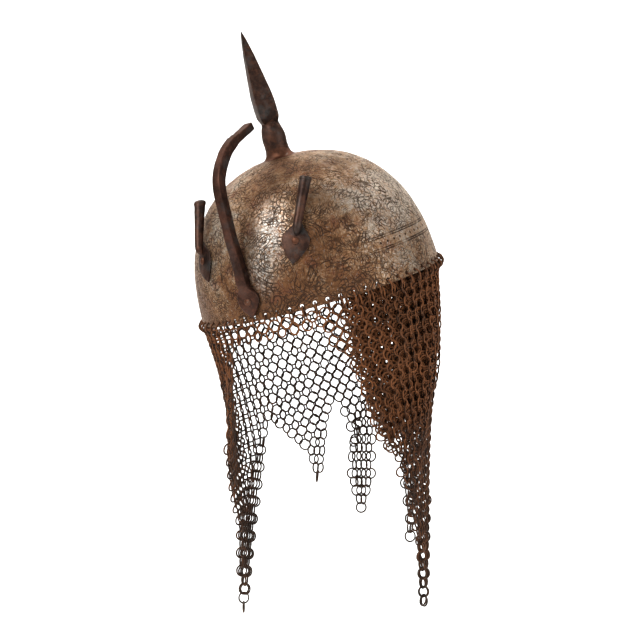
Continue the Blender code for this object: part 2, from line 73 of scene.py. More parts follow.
class Shell:
    """Collects vertices, faces and per-vertex values, and turns them into one mesh object."""

    def __init__(self) -> None:
        """Starts empty."""
        self.points: list[np.ndarray] = []
        self.faces: list[list[int]] = []
        self.values: dict[str, list[np.ndarray]] = {}
        self.count = 0

    def add_points(self, points: np.ndarray, **values: np.ndarray) -> int:
        """Adds vertices.

        Args:
            points: Rows of x, y and z.
            values: Named per-vertex numbers that go with them.

        Returns:
            The index of the first new vertex.
        """
        first = self.count
        flat = np.asarray(points, float).reshape(-1, 3)
        self.points.append(flat)
        self.count += len(flat)
        for name, numbers in values.items():
            self.values.setdefault(name, []).append(np.asarray(numbers, float).reshape(-1))
        return first

    def add_faces(self, faces: np.ndarray) -> None:
        """Adds faces given as rows of vertex indices."""
        self.faces.extend(np.asarray(faces, int).tolist())

    def add_grid(self, rows: int, columns: int, first: int, closed: bool, flip: bool = False) -> None:
        """Joins a grid of vertices with quads.

        Args:
            rows: How many rows of vertices the grid has.
            columns: How many vertices are in each row.
            first: The index of the grid's first vertex.
            closed: Whether the last column joins the first.
            flip: Whether the faces turn the other way.
        """
        across = columns if closed else columns - 1
        row, column = np.meshgrid(np.arange(rows - 1), np.arange(across), indexing="ij")
        after = (column + 1) % columns
        corners = [row * columns + column, row * columns + after,
                   (row + 1) * columns + after, (row + 1) * columns + column]
        quads = first + np.stack(corners, -1).reshape(-1, 4)
        self.add_faces(quads[:, ::-1] if flip else quads)

    def add_fan(self, ring: np.ndarray, tip: int, flip: bool = False) -> None:
        """Closes a ring of vertices to one tip vertex."""
        triangles = np.stack([ring, np.roll(ring, -1), np.full(len(ring), tip)], 1)
        self.add_faces(triangles[:, ::-1] if flip else triangles)

    def add_loft(self, sections: np.ndarray, tone: np.ndarray) -> None:
        """Joins closed sections into one capped form.

        Args:
            sections: Rows of sections of points, listed along the run and anticlockwise as seen from ahead.
            tone: A number for each point, or for each section.
        """
        rows, count = sections.shape[:2]
        tone = np.broadcast_to(tone if np.ndim(tone) == 2 else np.reshape(tone, (-1, 1)), (rows, count))
        first = self.add_points(sections, tone=tone)
        self.add_grid(rows, count, first, True)
        for row, flip in ((0, True), (rows - 1, False)):
            tip = self.add_points(sections[row].mean(0), tone=tone[row].mean())
            self.add_fan(first + row * count + np.arange(count), tip, flip)

    def build(self, name: str, sharp: float | None = None) -> bpy.types.Object:
        """Makes the mesh object and links it into the scene.

        Args:
            name: The object's name.
            sharp: Edges steeper than this angle in degrees stay sharp, or None for all smooth.

        Returns:
            The new object.
        """
        mesh = bpy.data.meshes.new(name)
        mesh.from_pydata(np.concatenate(self.points).tolist(), [], self.faces)
        mesh.validate()
        mesh.shade_smooth()
        if sharp is not None:
            mesh.set_sharp_from_angle(angle=math.radians(sharp))
        for key, parts in self.values.items():
            attribute = mesh.attributes.new(key, "FLOAT", "POINT")
            attribute.data.foreach_set("value", np.concatenate(parts).astype(np.float32))
        made = bpy.data.objects.new(name, mesh)
        bpy.context.scene.collection.objects.link(made)
        return made


def waves(points: np.ndarray, size: float, seed: int, count: int = 24) -> np.ndarray:
    """Smooth seeded noise, about -1 to 1.

    Args:
        points: Rows of x, y and z.
        size: The length of its bumps in metres.
        seed: Which noise it is.
        count: How many waves are summed.

    Returns:
        One number for each point.
    """
    rng = np.random.default_rng(seed)
    runs = rng.normal(size=(count, 3))
    lengths = np.linalg.norm(runs, axis=1)[:, None]
    runs *= (2 * math.pi / size) * rng.uniform(0.6, 1.5, count)[:, None] / lengths
    phases = rng.uniform(0, 2 * math.pi, count)
    return np.sin(points @ runs.T + phases).sum(1) / math.sqrt(count) * 0.9


def smoothed(rows: Sequence[Sequence[float]], steps: int) -> np.ndarray:
    """Reads a table at even steps along a smooth curve through its rows.

    Args:
        rows: Rows of numbers.
        steps: How many spans the result has.

    Returns:
        One row more than steps.
    """
    table = np.asarray(rows, float)
    along = np.linspace(0, len(table) - 1, steps + 1)
    first = np.minimum(along.astype(int), len(table) - 2)
    t = (along - first)[:, None]
    near = [table[np.clip(first + k, 0, len(table) - 1)] for k in (-1, 0, 1, 2)]
    before, start, end, after = near
    return 0.5 * (2 * start + (end - before) * t + (2 * before - 5 * start + 4 * end - after) * t ** 2
                  + (3 * start - before - 3 * end + after) * t ** 3)


def dress(piece: bpy.types.Object, material: bpy.types.Material, slot: str, *nodes: str) -> bpy.types.Object:
    """Gives a piece its material and ties it to the frame.

    Args:
        piece: The new object.
        material: Its finish.
        slot: The record's slot that the finish belongs to; not used.
        nodes: The solids that the piece stands for.

    Returns:
        The piece.
    """
    piece.data.materials.clear()
    piece.data.materials.append(material)
    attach(piece, "root")
    if nodes:
        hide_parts(*nodes)
    LOG.info("%s: %d faces", piece.name, len(piece.data.polygons))
    return piece


# The leaning frame


@dataclass(frozen=True)
class Dome:
    """The outside of the bowl, and the frame that leans with it."""

    rim_radius: float = 100 * MM
    height: float = 115 * MM
    fullness: float = 2.3
    wall: float = 1.6 * MM
    lean_forward: float = math.radians(14.5)
    lean_right: float = math.radians(9.6)

    def turn(self) -> np.ndarray:
        """Rotation from the bowl's own frame to the world.

        Returns:
            The three axes of the bowl's frame as columns.
        """
        f, r = self.lean_forward, -self.lean_right
        about_x = np.array([[1, 0, 0], [0, math.cos(f), -math.sin(f)], [0, math.sin(f), math.cos(f)]])
        about_y = np.array([[math.cos(r), 0, math.sin(r)], [0, 1, 0], [-math.sin(r), 0, math.cos(r)]])
        return about_x @ about_y

    def world(self, points: np.ndarray) -> np.ndarray:
        """Turns points of the bowl's frame into world points."""
        return np.asarray(points, float) @ self.turn().T

    def radius(self, height: np.ndarray) -> np.ndarray:
        """Radius of the outside at a height over the rim."""
        share = np.clip(np.asarray(height, float) / self.height, 0, 1)
        return self.rim_radius * (1 - share ** self.fullness) ** (1 / self.fullness)

    def heights(self, low: float, rows: int) -> np.ndarray:
        """Spaces rows evenly along the surface, from a low edge up to the crown.

        Args:
            low: The height of the first row.
            rows: How many rows there are.

        Returns:
            The rows' heights.
        """
        angles = np.linspace(math.asin((low / self.height) ** (self.fullness / 2)), math.pi / 2, 2000)
        height = self.height * np.sin(angles) ** (2 / self.fullness)
        radius = self.rim_radius * np.cos(angles) ** (2 / self.fullness)
        run = np.concatenate([[0], np.cumsum(np.hypot(np.diff(height), np.diff(radius)))])
        return np.interp(np.linspace(0, run[-1], rows), run, height)

    def surface(self, bearing: np.ndarray, height: np.ndarray) -> tuple[np.ndarray, np.ndarray]:
        """Points and outward normals in the bowl's frame.

        Args:
            bearing: Angles from the front towards the wearer's left.
            height: Heights over the rim.

        Returns:
            Points and unit normals.
        """
        bearing, height = np.broadcast_arrays(bearing, height)
        radius = self.radius(height)
        out = np.stack([np.sin(bearing), -np.cos(bearing), np.zeros_like(bearing)], -1)
        up = np.zeros_like(out)
        up[..., 2] = 1
        power = self.fullness - 1
        out_share = (radius / self.rim_radius) ** power / self.rim_radius
        up_share = (np.clip(height, 0, None) / self.height) ** power / self.height
        normal = out * out_share[..., None] + up * up_share[..., None]
        normal /= np.linalg.norm(normal, axis=-1, keepdims=True)
        return out * radius[..., None] + up * height[..., None], normal


@dataclass(frozen=True)
class Place:
    """A frame on the bowl: its middle and its three axes as columns, in the bowl's own frame."""

    middle: np.ndarray
    axes: np.ndarray
    halvings: int = 26

    @classmethod
    def on_dome(cls, dome: Dome, bearing: float, height: float, splay: float = 0.0) -> "Place":
        """Stands a frame on the bowl's outside.

        Args:
            dome: The bowl's outside.
            bearing: Angle from the front towards the wearer's left.
            height: Height over the rim.
            splay: Turn about the outward axis.

        Returns:
            A frame with x along the rim, y up and z out.
        """
        point, normal = dome.surface(np.array(bearing), np.array(height))
        along = np.array([math.cos(bearing), math.sin(bearing), 0.0])
        c, s = math.cos(splay), math.sin(splay)
        turn = np.array([[c, -s, 0], [s, c, 0], [0, 0, 1]])
        return cls(point, np.stack([along, np.cross(normal, along), normal], 1) @ turn)

    def outward(self, points: np.ndarray) -> np.ndarray:
        """Points of this frame in the bowl's frame."""
        return np.asarray(points, float) @ self.axes.T + self.middle

    def depth(self, dome: Dome, x: np.ndarray, y: np.ndarray) -> np.ndarray:
        """Finds the bowl's outside along this frame's z, by halving the stretch that it lies in.

        Args:
            dome: The bowl's outside.
            x: Places along the frame's x.
            y: Places along the frame's y.

        Returns:
            The outside's z at each place.
        """
        inside = np.full(np.shape(x), -0.2 * dome.rim_radius)
        outside = np.full(np.shape(x), 0.1 * dome.rim_radius)
        for _ in range(self.halvings):
            middle = (inside + outside) / 2
            point = self.outward(np.stack([x, y, middle], -1))
            full = (np.hypot(point[..., 0], point[..., 1]) / dome.rim_radius) ** dome.fullness
            full += (np.clip(point[..., 2], 0, None) / dome.height) ** dome.fullness
            inside, outside = np.where(full < 1, middle, inside), np.where(full < 1, outside, middle)
        return middle


# Node trees


class Sheet:
    """A node tree with short calls that add nodes and join them."""

    def __init__(self, tree: bpy.types.NodeTree) -> None:
        """Takes the tree to draw in."""
        self.tree = tree

    def put(self, socket: Socket, value: object) -> None:
        """Feeds an input.

        Args:
            socket: The input.
            value: A socket to link into it, a plain value, or None to leave it.
        """
        if isinstance(value, Socket):
            self.tree.links.new(value, socket)
        elif isinstance(value, tuple) and len(value) == 3 and socket.type == "RGBA":
            socket.default_value = (*value, 1.0)
        elif value is not None:
            socket.default_value = value

    def node(self, kind: str, inputs: dict | None = None, **settings: object) -> bpy.types.Node:
        """Adds a node.

        Args:
            kind: Blender's name for the node.
            inputs: Values or sockets for its inputs, by name or number.
            settings: The node's own settings.

        Returns:
            The node.
        """
        made = self.tree.nodes.new(kind)
        for name, value in settings.items():
            setattr(made, name, value)
        for key, value in (inputs or {}).items():
            self.put(made.inputs[key], value)
        return made

    def math(self, operation: str, a: object, b: object = None, c: object = None,
             clamp: bool = False) -> Socket:
        """Adds a Math node and gives its output."""
        inputs = {0: a, 1: b, 2: c}
        return self.node("ShaderNodeMath", inputs, operation=operation, use_clamp=clamp).outputs[0]

    def vector(self, operation: str, a: object, b: object = None) -> bpy.types.Node:
        """Adds a Vector Math node.

        Args:
            operation: Blender's name for the sum.
            a: Its first input.
            b: Its second input, or the scale.

        Returns:
            The node.
        """
        made = self.node("ShaderNodeVectorMath", {0: a}, operation=operation)
        if b is not None:
            self.put(made.inputs["Scale"] if operation == "SCALE" else made.inputs[1], b)
        return made

    def noise(self, vector: object, scale: float, detail: float = 3.0, rough: float = 0.55,
              warp: float = 0.0) -> Socket:
        """Adds a Noise Texture.

        Args:
            vector: The place on the surface.
            scale: How many of its bumps a metre has.
            detail: How many finer layers it has.
            rough: How strong the finer layers are.
            warp: How far it bends itself.

        Returns:
            Its value.
        """
        inputs = {"Vector": vector, "Scale": scale, "Detail": detail, "Roughness": rough, "Distortion": warp}
        return self.node("ShaderNodeTexNoise", inputs).outputs["Fac"]

    def between(self, value: object, low: float, high: float, out_low: float = 0.0,
                out_high: float = 1.0) -> Socket:
        """Maps a value smoothly from one range to another.

        Args:
            value: What is mapped.
            low: Where the first range starts.
            high: Where it ends.
            out_low: What the start becomes.
            out_high: What the end becomes.

        Returns:
            The mapped value.
        """
        inputs = {"Value": value, "From Min": low, "From Max": high, "To Min": out_low, "To Max": out_high}
        return self.node("ShaderNodeMapRange", inputs, interpolation_type="SMOOTHSTEP").outputs[0]

    def mix(self, share: object, a: object, b: object) -> Socket:
        """Mixes two colours.

        Args:
            share: How much of the second there is.
            a: The first colour.
            b: The second colour.

        Returns:
            The mixed colour.
        """
        return self.node("ShaderNodeMix", {0: share, 6: a, 7: b}, data_type="RGBA").outputs[2]

    def attribute(self, name: str) -> Socket:
        """Reads a per-vertex number."""
        return self.node("ShaderNodeAttribute", attribute_name=name).outputs["Fac"]

    def product(self, *values: object) -> Socket:
        """Multiplies values."""
        return reduce(lambda a, b: self.math("MULTIPLY", a, b), values)

    def highest(self, *values: object) -> Socket:
        """Takes the highest of several values."""
        return reduce(lambda a, b: self.math("MAXIMUM", a, b), values)

    def weighed(self, start: object, *terms: tuple[Socket, float]) -> Socket:
        """Adds values to a start, each times its own weight."""
        return reduce(lambda total, term: self.math("MULTIPLY_ADD", *term, total), terms, start)

    def distance(self, x: Socket, y: Socket) -> Socket:
        """Gives the length of a flat offset."""
        return self.math("SQRT", self.math("ADD", self.product(x, x), self.product(y, y)))

    def dent(self, shader: bpy.types.Node, height: Socket, strength: float, depth: float) -> None:
        """Roughens a shader's surface.

        Args:
            shader: The Principled node.
            height: How high the surface is at each place.
            strength: How strongly it shows.
            depth: How far a height of 1 stands out.
        """
        bump = self.node("ShaderNodeBump", {"Strength": strength, "Distance": depth, "Height": height})
        self.put(shader.inputs["Normal"], bump.outputs[0])


class Effects:
    """The shader node groups that the finishes share."""

    def __init__(self) -> None:
        """Builds each group once."""
        self.grain = self.build_grain()
        self.patina = self.build_patina()
        self.wear = self.build_wear()

    def begin(self, name: str, inputs: Iterable[tuple[str, str, float]],
              outputs: Iterable[tuple[str, str]]) -> tuple[Sheet, bpy.types.Node, bpy.types.Node]:
        """Starts a group with its sockets.

        Args:
            name: The group's name.
            inputs: Name, socket type and default of each input.
            outputs: Name and socket type of each output.

        Returns:
            The sheet to draw in, the group's input node and its output node.
        """
        tree = bpy.data.node_groups.new(name, "ShaderNodeTree")
        for label, kind, value in inputs:
            socket = tree.interface.new_socket(label, in_out="INPUT", socket_type=kind)
            if kind == "NodeSocketFloat":
                socket.default_value = value
        for label, kind in outputs:
            tree.interface.new_socket(label, in_out="OUTPUT", socket_type=kind)
        sheet = Sheet(tree)
        return sheet, sheet.node("NodeGroupInput"), sheet.node("NodeGroupOutput")

    def build_grain(self) -> bpy.types.NodeTree:
        """Draws the fine pitting and grain of old iron.

        Returns:
            A group that gives a value and a height.
        """
        sheet, given, out = self.begin(
            "iron_grain",
            [("Vector", "NodeSocketVector", 0.0), ("Scale", "NodeSocketFloat", 900.0)],
            [("Value", "NodeSocketFloat"), ("Height", "NodeSocketFloat")])
        fine = sheet.noise(given.outputs["Vector"], 1.0, 6.0, 0.65)
        sheet.put(fine.node.inputs["Scale"], given.outputs["Scale"])
        pits = sheet.node("ShaderNodeTexVoronoi", {"Vector": given.outputs["Vector"]}, feature="F1")
        sheet.put(pits.inputs["Scale"], sheet.product(given.outputs["Scale"], 0.45))
        pit = sheet.between(pits.outputs["Distance"], 0.10, 0.42)
        sheet.put(out.inputs["Value"], fine)
        sheet.put(out.inputs["Height"], sheet.math("ADD", sheet.product(fine, 0.7), sheet.product(pit, 0.3)))
        return sheet.tree

    def build_patina(self) -> bpy.types.NodeTree:
        """Draws the blotches of age.

        Returns:
            A group that gives a broad mask, a rust mask and a mask of small dark specks.
        """
        sheet, given, out = self.begin(
            "iron_patina",
            [("Vector", "NodeSocketVector", 0.0), ("Scale", "NodeSocketFloat", 40.0)],
            [("Broad", "NodeSocketFloat"), ("Rust", "NodeSocketFloat"), ("Specks", "NodeSocketFloat")])
        vector, scale = given.outputs["Vector"], given.outputs["Scale"]
        broad = sheet.noise(vector, 1.0, 5.0, 0.6, 0.6)
        sheet.put(broad.node.inputs["Scale"], scale)
        rust = sheet.noise(vector, 1.0, 8.0, 0.7, 0.3)
        sheet.put(rust.node.inputs["Scale"], sheet.product(scale, 3.1))
        specks = sheet.noise(vector, 1.0, 4.0, 0.75)
        sheet.put(specks.node.inputs["Scale"], sheet.product(scale, 11.0))
        sheet.put(out.inputs["Broad"], sheet.between(broad, 0.36, 0.64))
        sheet.put(out.inputs["Rust"], sheet.between(rust, 0.45, 0.66))
        sheet.put(out.inputs["Specks"], sheet.between(specks, 0.54, 0.70))
        return sheet.tree

    def build_wear(self) -> bpy.types.NodeTree:
        """Finds the rubbed edges from how sharply the surface turns.

        Returns:
            A group that gives a mask.
        """
        sheet, given, out = self.begin(
            "edge_wear",
            [("Vector", "NodeSocketVector", 0.0), ("Amount", "NodeSocketFloat", 1.0)],
            [("Mask", "NodeSocketFloat")])
        sharp = sheet.node("ShaderNodeNewGeometry").outputs["Pointiness"]
        patchy = sheet.weighed(-0.03, (sheet.noise(given.outputs["Vector"], 260.0, 4.0, 0.6), 0.06))
        edge = sheet.between(sheet.math("ADD", sharp, patchy), 0.51, 0.60)
        sheet.put(out.inputs["Mask"], sheet.math("MULTIPLY", edge, given.outputs["Amount"], clamp=True))
        return sheet.tree

    def place(self, sheet: Sheet, group: bpy.types.NodeTree, **inputs: object) -> bpy.types.Node:
        """Puts one of the groups in a material.

        Args:
            sheet: The material's sheet.
            group: The group.
            inputs: The material's own values, by the group's names.

        Returns:
            The group's node.
        """
        made = sheet.node("ShaderNodeGroup", node_tree=group)
        for name, value in inputs.items():
            sheet.put(made.inputs[name], value)
        return made


def new_material(name: str) -> tuple[bpy.types.Material, Sheet, bpy.types.Node]:
    """Makes an empty Principled material.

    Args:
        name: The material's name.

    Returns:
        The material, a sheet on its tree and its Principled node.
    """
    made = bpy.data.materials.new(name)
    made.use_nodes = True
    return made, Sheet(made.node_tree), made.node_tree.nodes["Principled BSDF"]


@dataclass(frozen=True)
class OldIron:
    """Dark iron with a brown patina, rust in its pits and bright rubbed edges."""

    name: str
    deep: Colour
    body: Colour
    rust: Colour
    bright: Colour
    patch_size: float = 9 * MM
    rust_share: float = 0.5
    roughness: float = 0.42
    metallic: float = 0.85
    bump: float = 0.30
    bump_depth: float = 0.25 * MM
    rubbed: float = 0.35
    cool: Colour = (0.060, 0.062, 0.060)
    cool_share: float = 0.0
    sheen: Colour = (0.50, 0.45, 0.42)

    def colour(self, sheet: Sheet, where: Socket, patina: bpy.types.Node, rust: Socket) -> Socket:
        """Draws the patina: brown patches, rust where the tone is high, cool patches and dark specks.

        Args:
            sheet: The sheet to draw in.
            where: The place on the surface.
            patina: The shared patina.
            rust: How much of the rust mask shows.

        Returns:
            The colour under the bright wear.
        """
        colour = sheet.mix(patina.outputs["Broad"], self.deep, self.body)
        colour = sheet.mix(rust, colour, self.rust)
        mottle = sheet.math("MULTIPLY_ADD", sheet.noise(where, 520.0, 5.0, 0.65), 0.9, -0.45)
        tone = sheet.math("ADD", sheet.attribute("tone"), mottle)
        colour = sheet.mix(sheet.between(tone, 0.45, 1.0, 0.0, 0.85), colour, self.rust)
        colour = sheet.mix(sheet.between(tone, 0.0, 0.35, 0.75, 0.0), colour, self.deep)
        cool = sheet.between(sheet.noise(where, 75.0, 4.0, 0.6), 0.48, 0.62, 0.0, self.cool_share)
        cool = sheet.product(cool, sheet.between(tone, 0.2, 0.6, 1.0, 0.2))
        colour = sheet.mix(cool, colour, self.cool)
        return sheet.mix(sheet.product(patina.outputs["Specks"], 0.5), colour, self.deep)

    def build(self, effects: Effects) -> bpy.types.Material:
        """Draws the material.

        Args:
            effects: The shared node groups.

        Returns:
            The material.
        """
        made, sheet, shader = new_material(self.name)
        where = sheet.node("ShaderNodeTexCoord").outputs["Object"]
        grain = effects.place(sheet, effects.grain, Vector=where, Scale=1.1 / MM)
        patina = effects.place(sheet, effects.patina, Vector=where, Scale=0.5 / self.patch_size)
        wear = effects.place(sheet, effects.wear, Vector=where, Amount=self.rubbed).outputs["Mask"]
        rust = sheet.product(patina.outputs["Rust"], self.rust_share)
        colour = self.colour(sheet, where, patina, rust)
        sheet.put(shader.inputs["Base Color"], sheet.mix(wear, colour, self.bright))
        rough = sheet.weighed(self.roughness - 0.15, (grain.outputs["Value"], 0.30), (rust, 0.18),
                              (wear, -0.12))
        sheet.put(shader.inputs["Roughness"], rough)
        sheet.put(shader.inputs["Metallic"], sheet.weighed(self.metallic, (rust, -0.45)))
        sheet.put(shader.inputs["Specular Tint"], self.sheen)
        sheet.dent(shader, grain.outputs["Height"], self.bump, self.bump_depth)
        return made


@dataclass(frozen=True)
class Zones:
    """The bowl's per-vertex numbers, as a material reads them."""

    silver: Socket
    stain_and_shade: Socket
    browned: Socket
    pale: Socket
    rise: Socket
    around: Socket

    @classmethod
    def read(cls, sheet: Sheet) -> "Zones":
        """Reads each number by its name."""
        return cls(*(sheet.attribute(number.name) for number in fields(cls)))


@dataclass(frozen=True)
class EngravedIron:
    """The bowl's iron: brown patina over worn steel, with dark engraved scroll work."""

    name: str = "bowl_iron_worn"
    deep: Colour = (0.026, 0.014, 0.009)
    brown: Colour = (0.190, 0.083, 0.034)
    tan: Colour = (0.350, 0.201, 0.106)
    grey: Colour = (0.480, 0.390, 0.300)
    steel: Colour = (0.64, 0.60, 0.545)
    red: Colour = (0.185, 0.062, 0.034)
    sheen: Colour = (0.80, 0.72, 0.64)
    angle_axis: tuple[float, float, float] = (0.31, 0.22, 0.93)
    scroll_size: float = 13 * MM
    hatch_pitch: float = 2.3 * MM
    # Size and reach of the waves that bend the engraving.
    bends: tuple[tuple[float, float], ...] = ((34 * MM, 16 * MM), (9 * MM, 3.6 * MM))
    # The band, in millimetres over the rim and along it.
    band: tuple[float, float] = (28.0, 36.0)
    double_line: float = 1.7
    line_edge: tuple[float, float] = (0.28, 0.62)
    dot_pitch: float = 7.5
    dot_edge: tuple[float, float] = (0.85, 1.3)
    bump: float = 0.75
    bump_depth: float = 0.45 * MM

    def cells(self, sheet: Sheet, where: Socket, size: float) -> tuple[Socket, ...]:
        """Spreads middles over the surface.

        Args:
            sheet: The sheet to draw in.
            where: The place on the surface.
            size: The distance between two middles.

        Returns:
            The distance from the nearest middle, the angle round it and two random numbers of its own.
        """
        inputs = {"Vector": where, "Scale": 1 / size, "Randomness": 0.95}
        found = sheet.node("ShaderNodeTexVoronoi", inputs)
        away = sheet.vector("SUBTRACT", where, found.outputs["Position"]).outputs[0]
        normal = sheet.node("ShaderNodeNewGeometry").outputs["Normal"]
        level = sheet.vector("CROSS_PRODUCT", normal, self.angle_axis).outputs[0]
        side = sheet.vector("NORMALIZE", level).outputs[0]
        rise = sheet.vector("CROSS_PRODUCT", normal, side).outputs[0]
        x, y = (sheet.vector("DOT_PRODUCT", away, axis).outputs["Value"] for axis in (side, rise))
        random = sheet.node("ShaderNodeSeparateColor", {0: found.outputs["Color"]})
        return sheet.distance(x, y), sheet.math("ARCTAN2", y, x), random.outputs[0], random.outputs[1]

    def scrolls(self, sheet: Sheet, where: Socket, size: float, turns: float, width: float) -> Socket:
        """Draws lines that curl round scattered middles.

        Args:
            sheet: The sheet to draw in.
            where: The place on the surface.
            size: The distance between two middles.
            turns: How many lines one scroll has from its middle out.
            width: The share of the pattern that is line.

        Returns:
            A mask that is 1 in the lines.
        """
        far, angle, hand, phase = self.cells(sheet, where, size)
        hand = sheet.math("SIGN", sheet.math("SUBTRACT", hand, 0.5))
        curl = sheet.product(far, 2 * math.pi * turns / (0.55 * size))
        wave = sheet.weighed(sheet.math("MULTIPLY_ADD", angle, hand, curl), (phase, 2 * math.pi))
        line = sheet.math("ABSOLUTE", sheet.math("SINE", sheet.product(wave, 0.5)))
        return sheet.between(line, width, width * 2.0, 1.0, 0.0)

    def hatching(self, sheet: Sheet, where: Socket) -> Socket:
        """Draws groups of curved parallel strokes, as between the scrolls.

        Args:
            sheet: The sheet to draw in.
            where: The place on the surface.

        Returns:
            A mask that is 1 in the strokes.
        """
        far = self.cells(sheet, where, 5 * self.scroll_size)[0]
        line = sheet.math("ABSOLUTE", sheet.math("SINE", sheet.product(far, math.pi / self.hatch_pitch)))
        group = sheet.between(sheet.noise(where, 75.0, 1.0), 0.50, 0.56)
        return sheet.product(sheet.between(line, 0.30, 0.60, 1.0, 0.0), group)

    def leaves(self, sheet: Sheet, where: Socket) -> Socket:
        """Draws the thin outlines of leaves that fill the ground.

        Args:
            sheet: The sheet to draw in.
            where: The place on the surface.

        Returns:
            A mask that is 1 in the outlines.
        """
        inputs = {"Vector": where, "Scale": 2.4 / self.scroll_size, "Randomness": 1.0}
        edge = sheet.node("ShaderNodeTexVoronoi", inputs, feature="DISTANCE_TO_EDGE").outputs["Distance"]
        return sheet.between(edge, 0.035, 0.085, 1.0, 0.0)

    def border(self, sheet: Sheet, zones: Zones) -> Socket:
        """Draws the band round the bowl: two double lines with a row of dots between.

        Args:
            sheet: The sheet to draw in.
            zones: The bowl's per-vertex numbers.

        Returns:
            A mask that is 1 in the lines and the dots.
        """
        low, high = self.band
        marks = []
        for height in (low, high, low - self.double_line, high + self.double_line):
            off = sheet.math("ABSOLUTE", sheet.math("SUBTRACT", zones.rise, height))
            marks.append(sheet.between(off, *self.line_edge, 1.0, 0.0))
        off = sheet.math("SUBTRACT", zones.rise, (low + high) / 2)
        beside = sheet.math("PINGPONG", zones.around, self.dot_pitch / 2)
        return sheet.highest(*marks, sheet.between(sheet.distance(off, beside), *self.dot_edge, 1.0, 0.0))

    def weave(self, sheet: Sheet, where: Socket) -> Socket:
        """Draws short level and upright scratches that cross each other.

        Args:
            sheet: The sheet to draw in.
            where: The place on the surface.

        Returns:
            A value that is high in the scratches.
        """
        stretches = ((0.28, 0.28, 1.0), (1.0, 1.0, 0.28))
        drawn = (sheet.vector("MULTIPLY", where, stretch).outputs[0] for stretch in stretches)
        return sheet.highest(*(sheet.noise(place, 1000.0, 3.0, 0.65) for place in drawn))

    def engraving(self, sheet: Sheet, where: Socket, bent: Socket, zones: Zones) -> Socket:
        """Puts the engraving together, fainter beside the band's dots and worn away in places.

        Args:
            sheet: The sheet to draw in.
            where: The place on the surface.
            bent: The same, bent so that nothing runs straight.
            zones: The bowl's per-vertex numbers.

        Returns:
            A mask that is 1 in the lines.
        """
        scroll = self.scrolls(sheet, bent, self.scroll_size, 2.1, 0.20)
        fine = sheet.product(self.scrolls(sheet, bent, 0.5 * self.scroll_size, 1.2, 0.22), 0.75)
        leaves = sheet.product(self.leaves(sheet, bent), 0.85)
        lines = sheet.highest(scroll, fine, self.hatching(sheet, bent), leaves)
        off = sheet.math("ABSOLUTE", sheet.math("SUBTRACT", zones.rise, sum(self.band) / 2))
        plain = sheet.product(sheet.between(off, 3.4, 4.2, 0.60, 0.0), zones.pale)
        lines = sheet.product(lines, sheet.math("SUBTRACT", 1.0, plain))
        border = sheet.product(self.border(sheet, zones), sheet.between(zones.pale, 0.0, 0.8, 0.08, 1.25))
        kept = sheet.between(sheet.noise(where, 90.0, 5.0, 0.65), 0.34, 0.56, 0.35, 1.0)
        return sheet.product(sheet.highest(lines, border), kept)

    def ground(self, sheet: Sheet, where: Socket, light: Socket, zones: Zones) -> Socket:
        """Draws the iron between the lines: brown to grey, red patches, worn steel and fine scratches.

        Args:
            sheet: The sheet to draw in.
            where: The place on the surface.
            light: How far the patina is worn.
            zones: The bowl's per-vertex numbers.

        Returns:
            The colour without its dark marks.
        """
        colour = sheet.mix(sheet.between(light, 0.38, 0.80), self.brown, self.tan)
        colour = sheet.mix(sheet.between(light, 0.72, 1.15), colour, self.grey)
        reddish = sheet.between(sheet.noise(where, 85.0, 6.0, 0.7), 0.50, 0.66, 0.0, 0.60)
        reddish = sheet.product(reddish, sheet.weighed(1.0, (zones.pale, -0.6)))
        colour = sheet.mix(reddish, colour, self.red)
        worn = sheet.between(sheet.noise(where, 420.0, 6.0, 0.75), 0.36, 0.62)
        colour = sheet.mix(sheet.math("MULTIPLY", zones.silver, worn, clamp=True), colour, self.steel)
        drawn = sheet.vector("MULTIPLY", where, (1.0, 1.0, 0.35)).outputs[0]
        scratch = sheet.between(sheet.noise(drawn, 900.0, 3.0, 0.7), 0.60, 0.70)
        scratch = sheet.product(scratch, sheet.weighed(0.40, (zones.pale, 0.75)))
        return sheet.mix(scratch, colour, self.steel)

    def build(self, effects: Effects) -> bpy.types.Material:
        """Draws the material.

        Args:
            effects: The shared node groups.

        Returns:
            The material.
        """
        made, sheet, shader = new_material(self.name)
        where = sheet.node("ShaderNodeTexCoord").outputs["Object"]
        bent = where
        for size, reach in self.bends:
            shake = sheet.node("ShaderNodeTexNoise", {"Vector": where, "Scale": 1 / size, "Detail": 1.0})
            off = sheet.vector("SUBTRACT", shake.outputs["Color"], (0.5, 0.5, 0.5)).outputs[0]
            bent = sheet.vector("ADD", bent, sheet.vector("SCALE", off, reach).outputs[0]).outputs[0]
        grain = effects.place(sheet, effects.grain, Vector=where, Scale=0.9 / MM)
        patina = effects.place(sheet, effects.patina, Vector=where, Scale=30.0)
        zones = Zones.read(sheet)
        lines = self.engraving(sheet, where, bent, zones)

        low = sheet.between(zones.browned, -0.2, 0.7, 0.35, 1.0)
        light = sheet.weighed(-0.02, (patina.outputs["Broad"], 0.45), (zones.pale, 0.54),
                              (sheet.noise(where, 210.0, 6.0, 0.7), 0.85), (zones.browned, -0.40))
        weave = sheet.math("SUBTRACT", self.weave(sheet, where), 0.56)
        light = sheet.math("MULTIPLY_ADD", weave, sheet.product(low, 2.4), light)
        cuts = sheet.product(sheet.between(self.weave(sheet, bent), 0.60, 0.68), low, 0.5)
        # The dark marks darken the ground here: real stains, and painted shadow and shade.
        stain_and_shade = sheet.product(zones.stain_and_shade, sheet.between(light, 0.2, 0.9, 1.0, 0.55))
        dark = sheet.highest(sheet.product(patina.outputs["Specks"], 0.70), cuts, stain_and_shade)
        dark = sheet.math("MAXIMUM", dark, sheet.product(lines, 0.94), clamp=True)

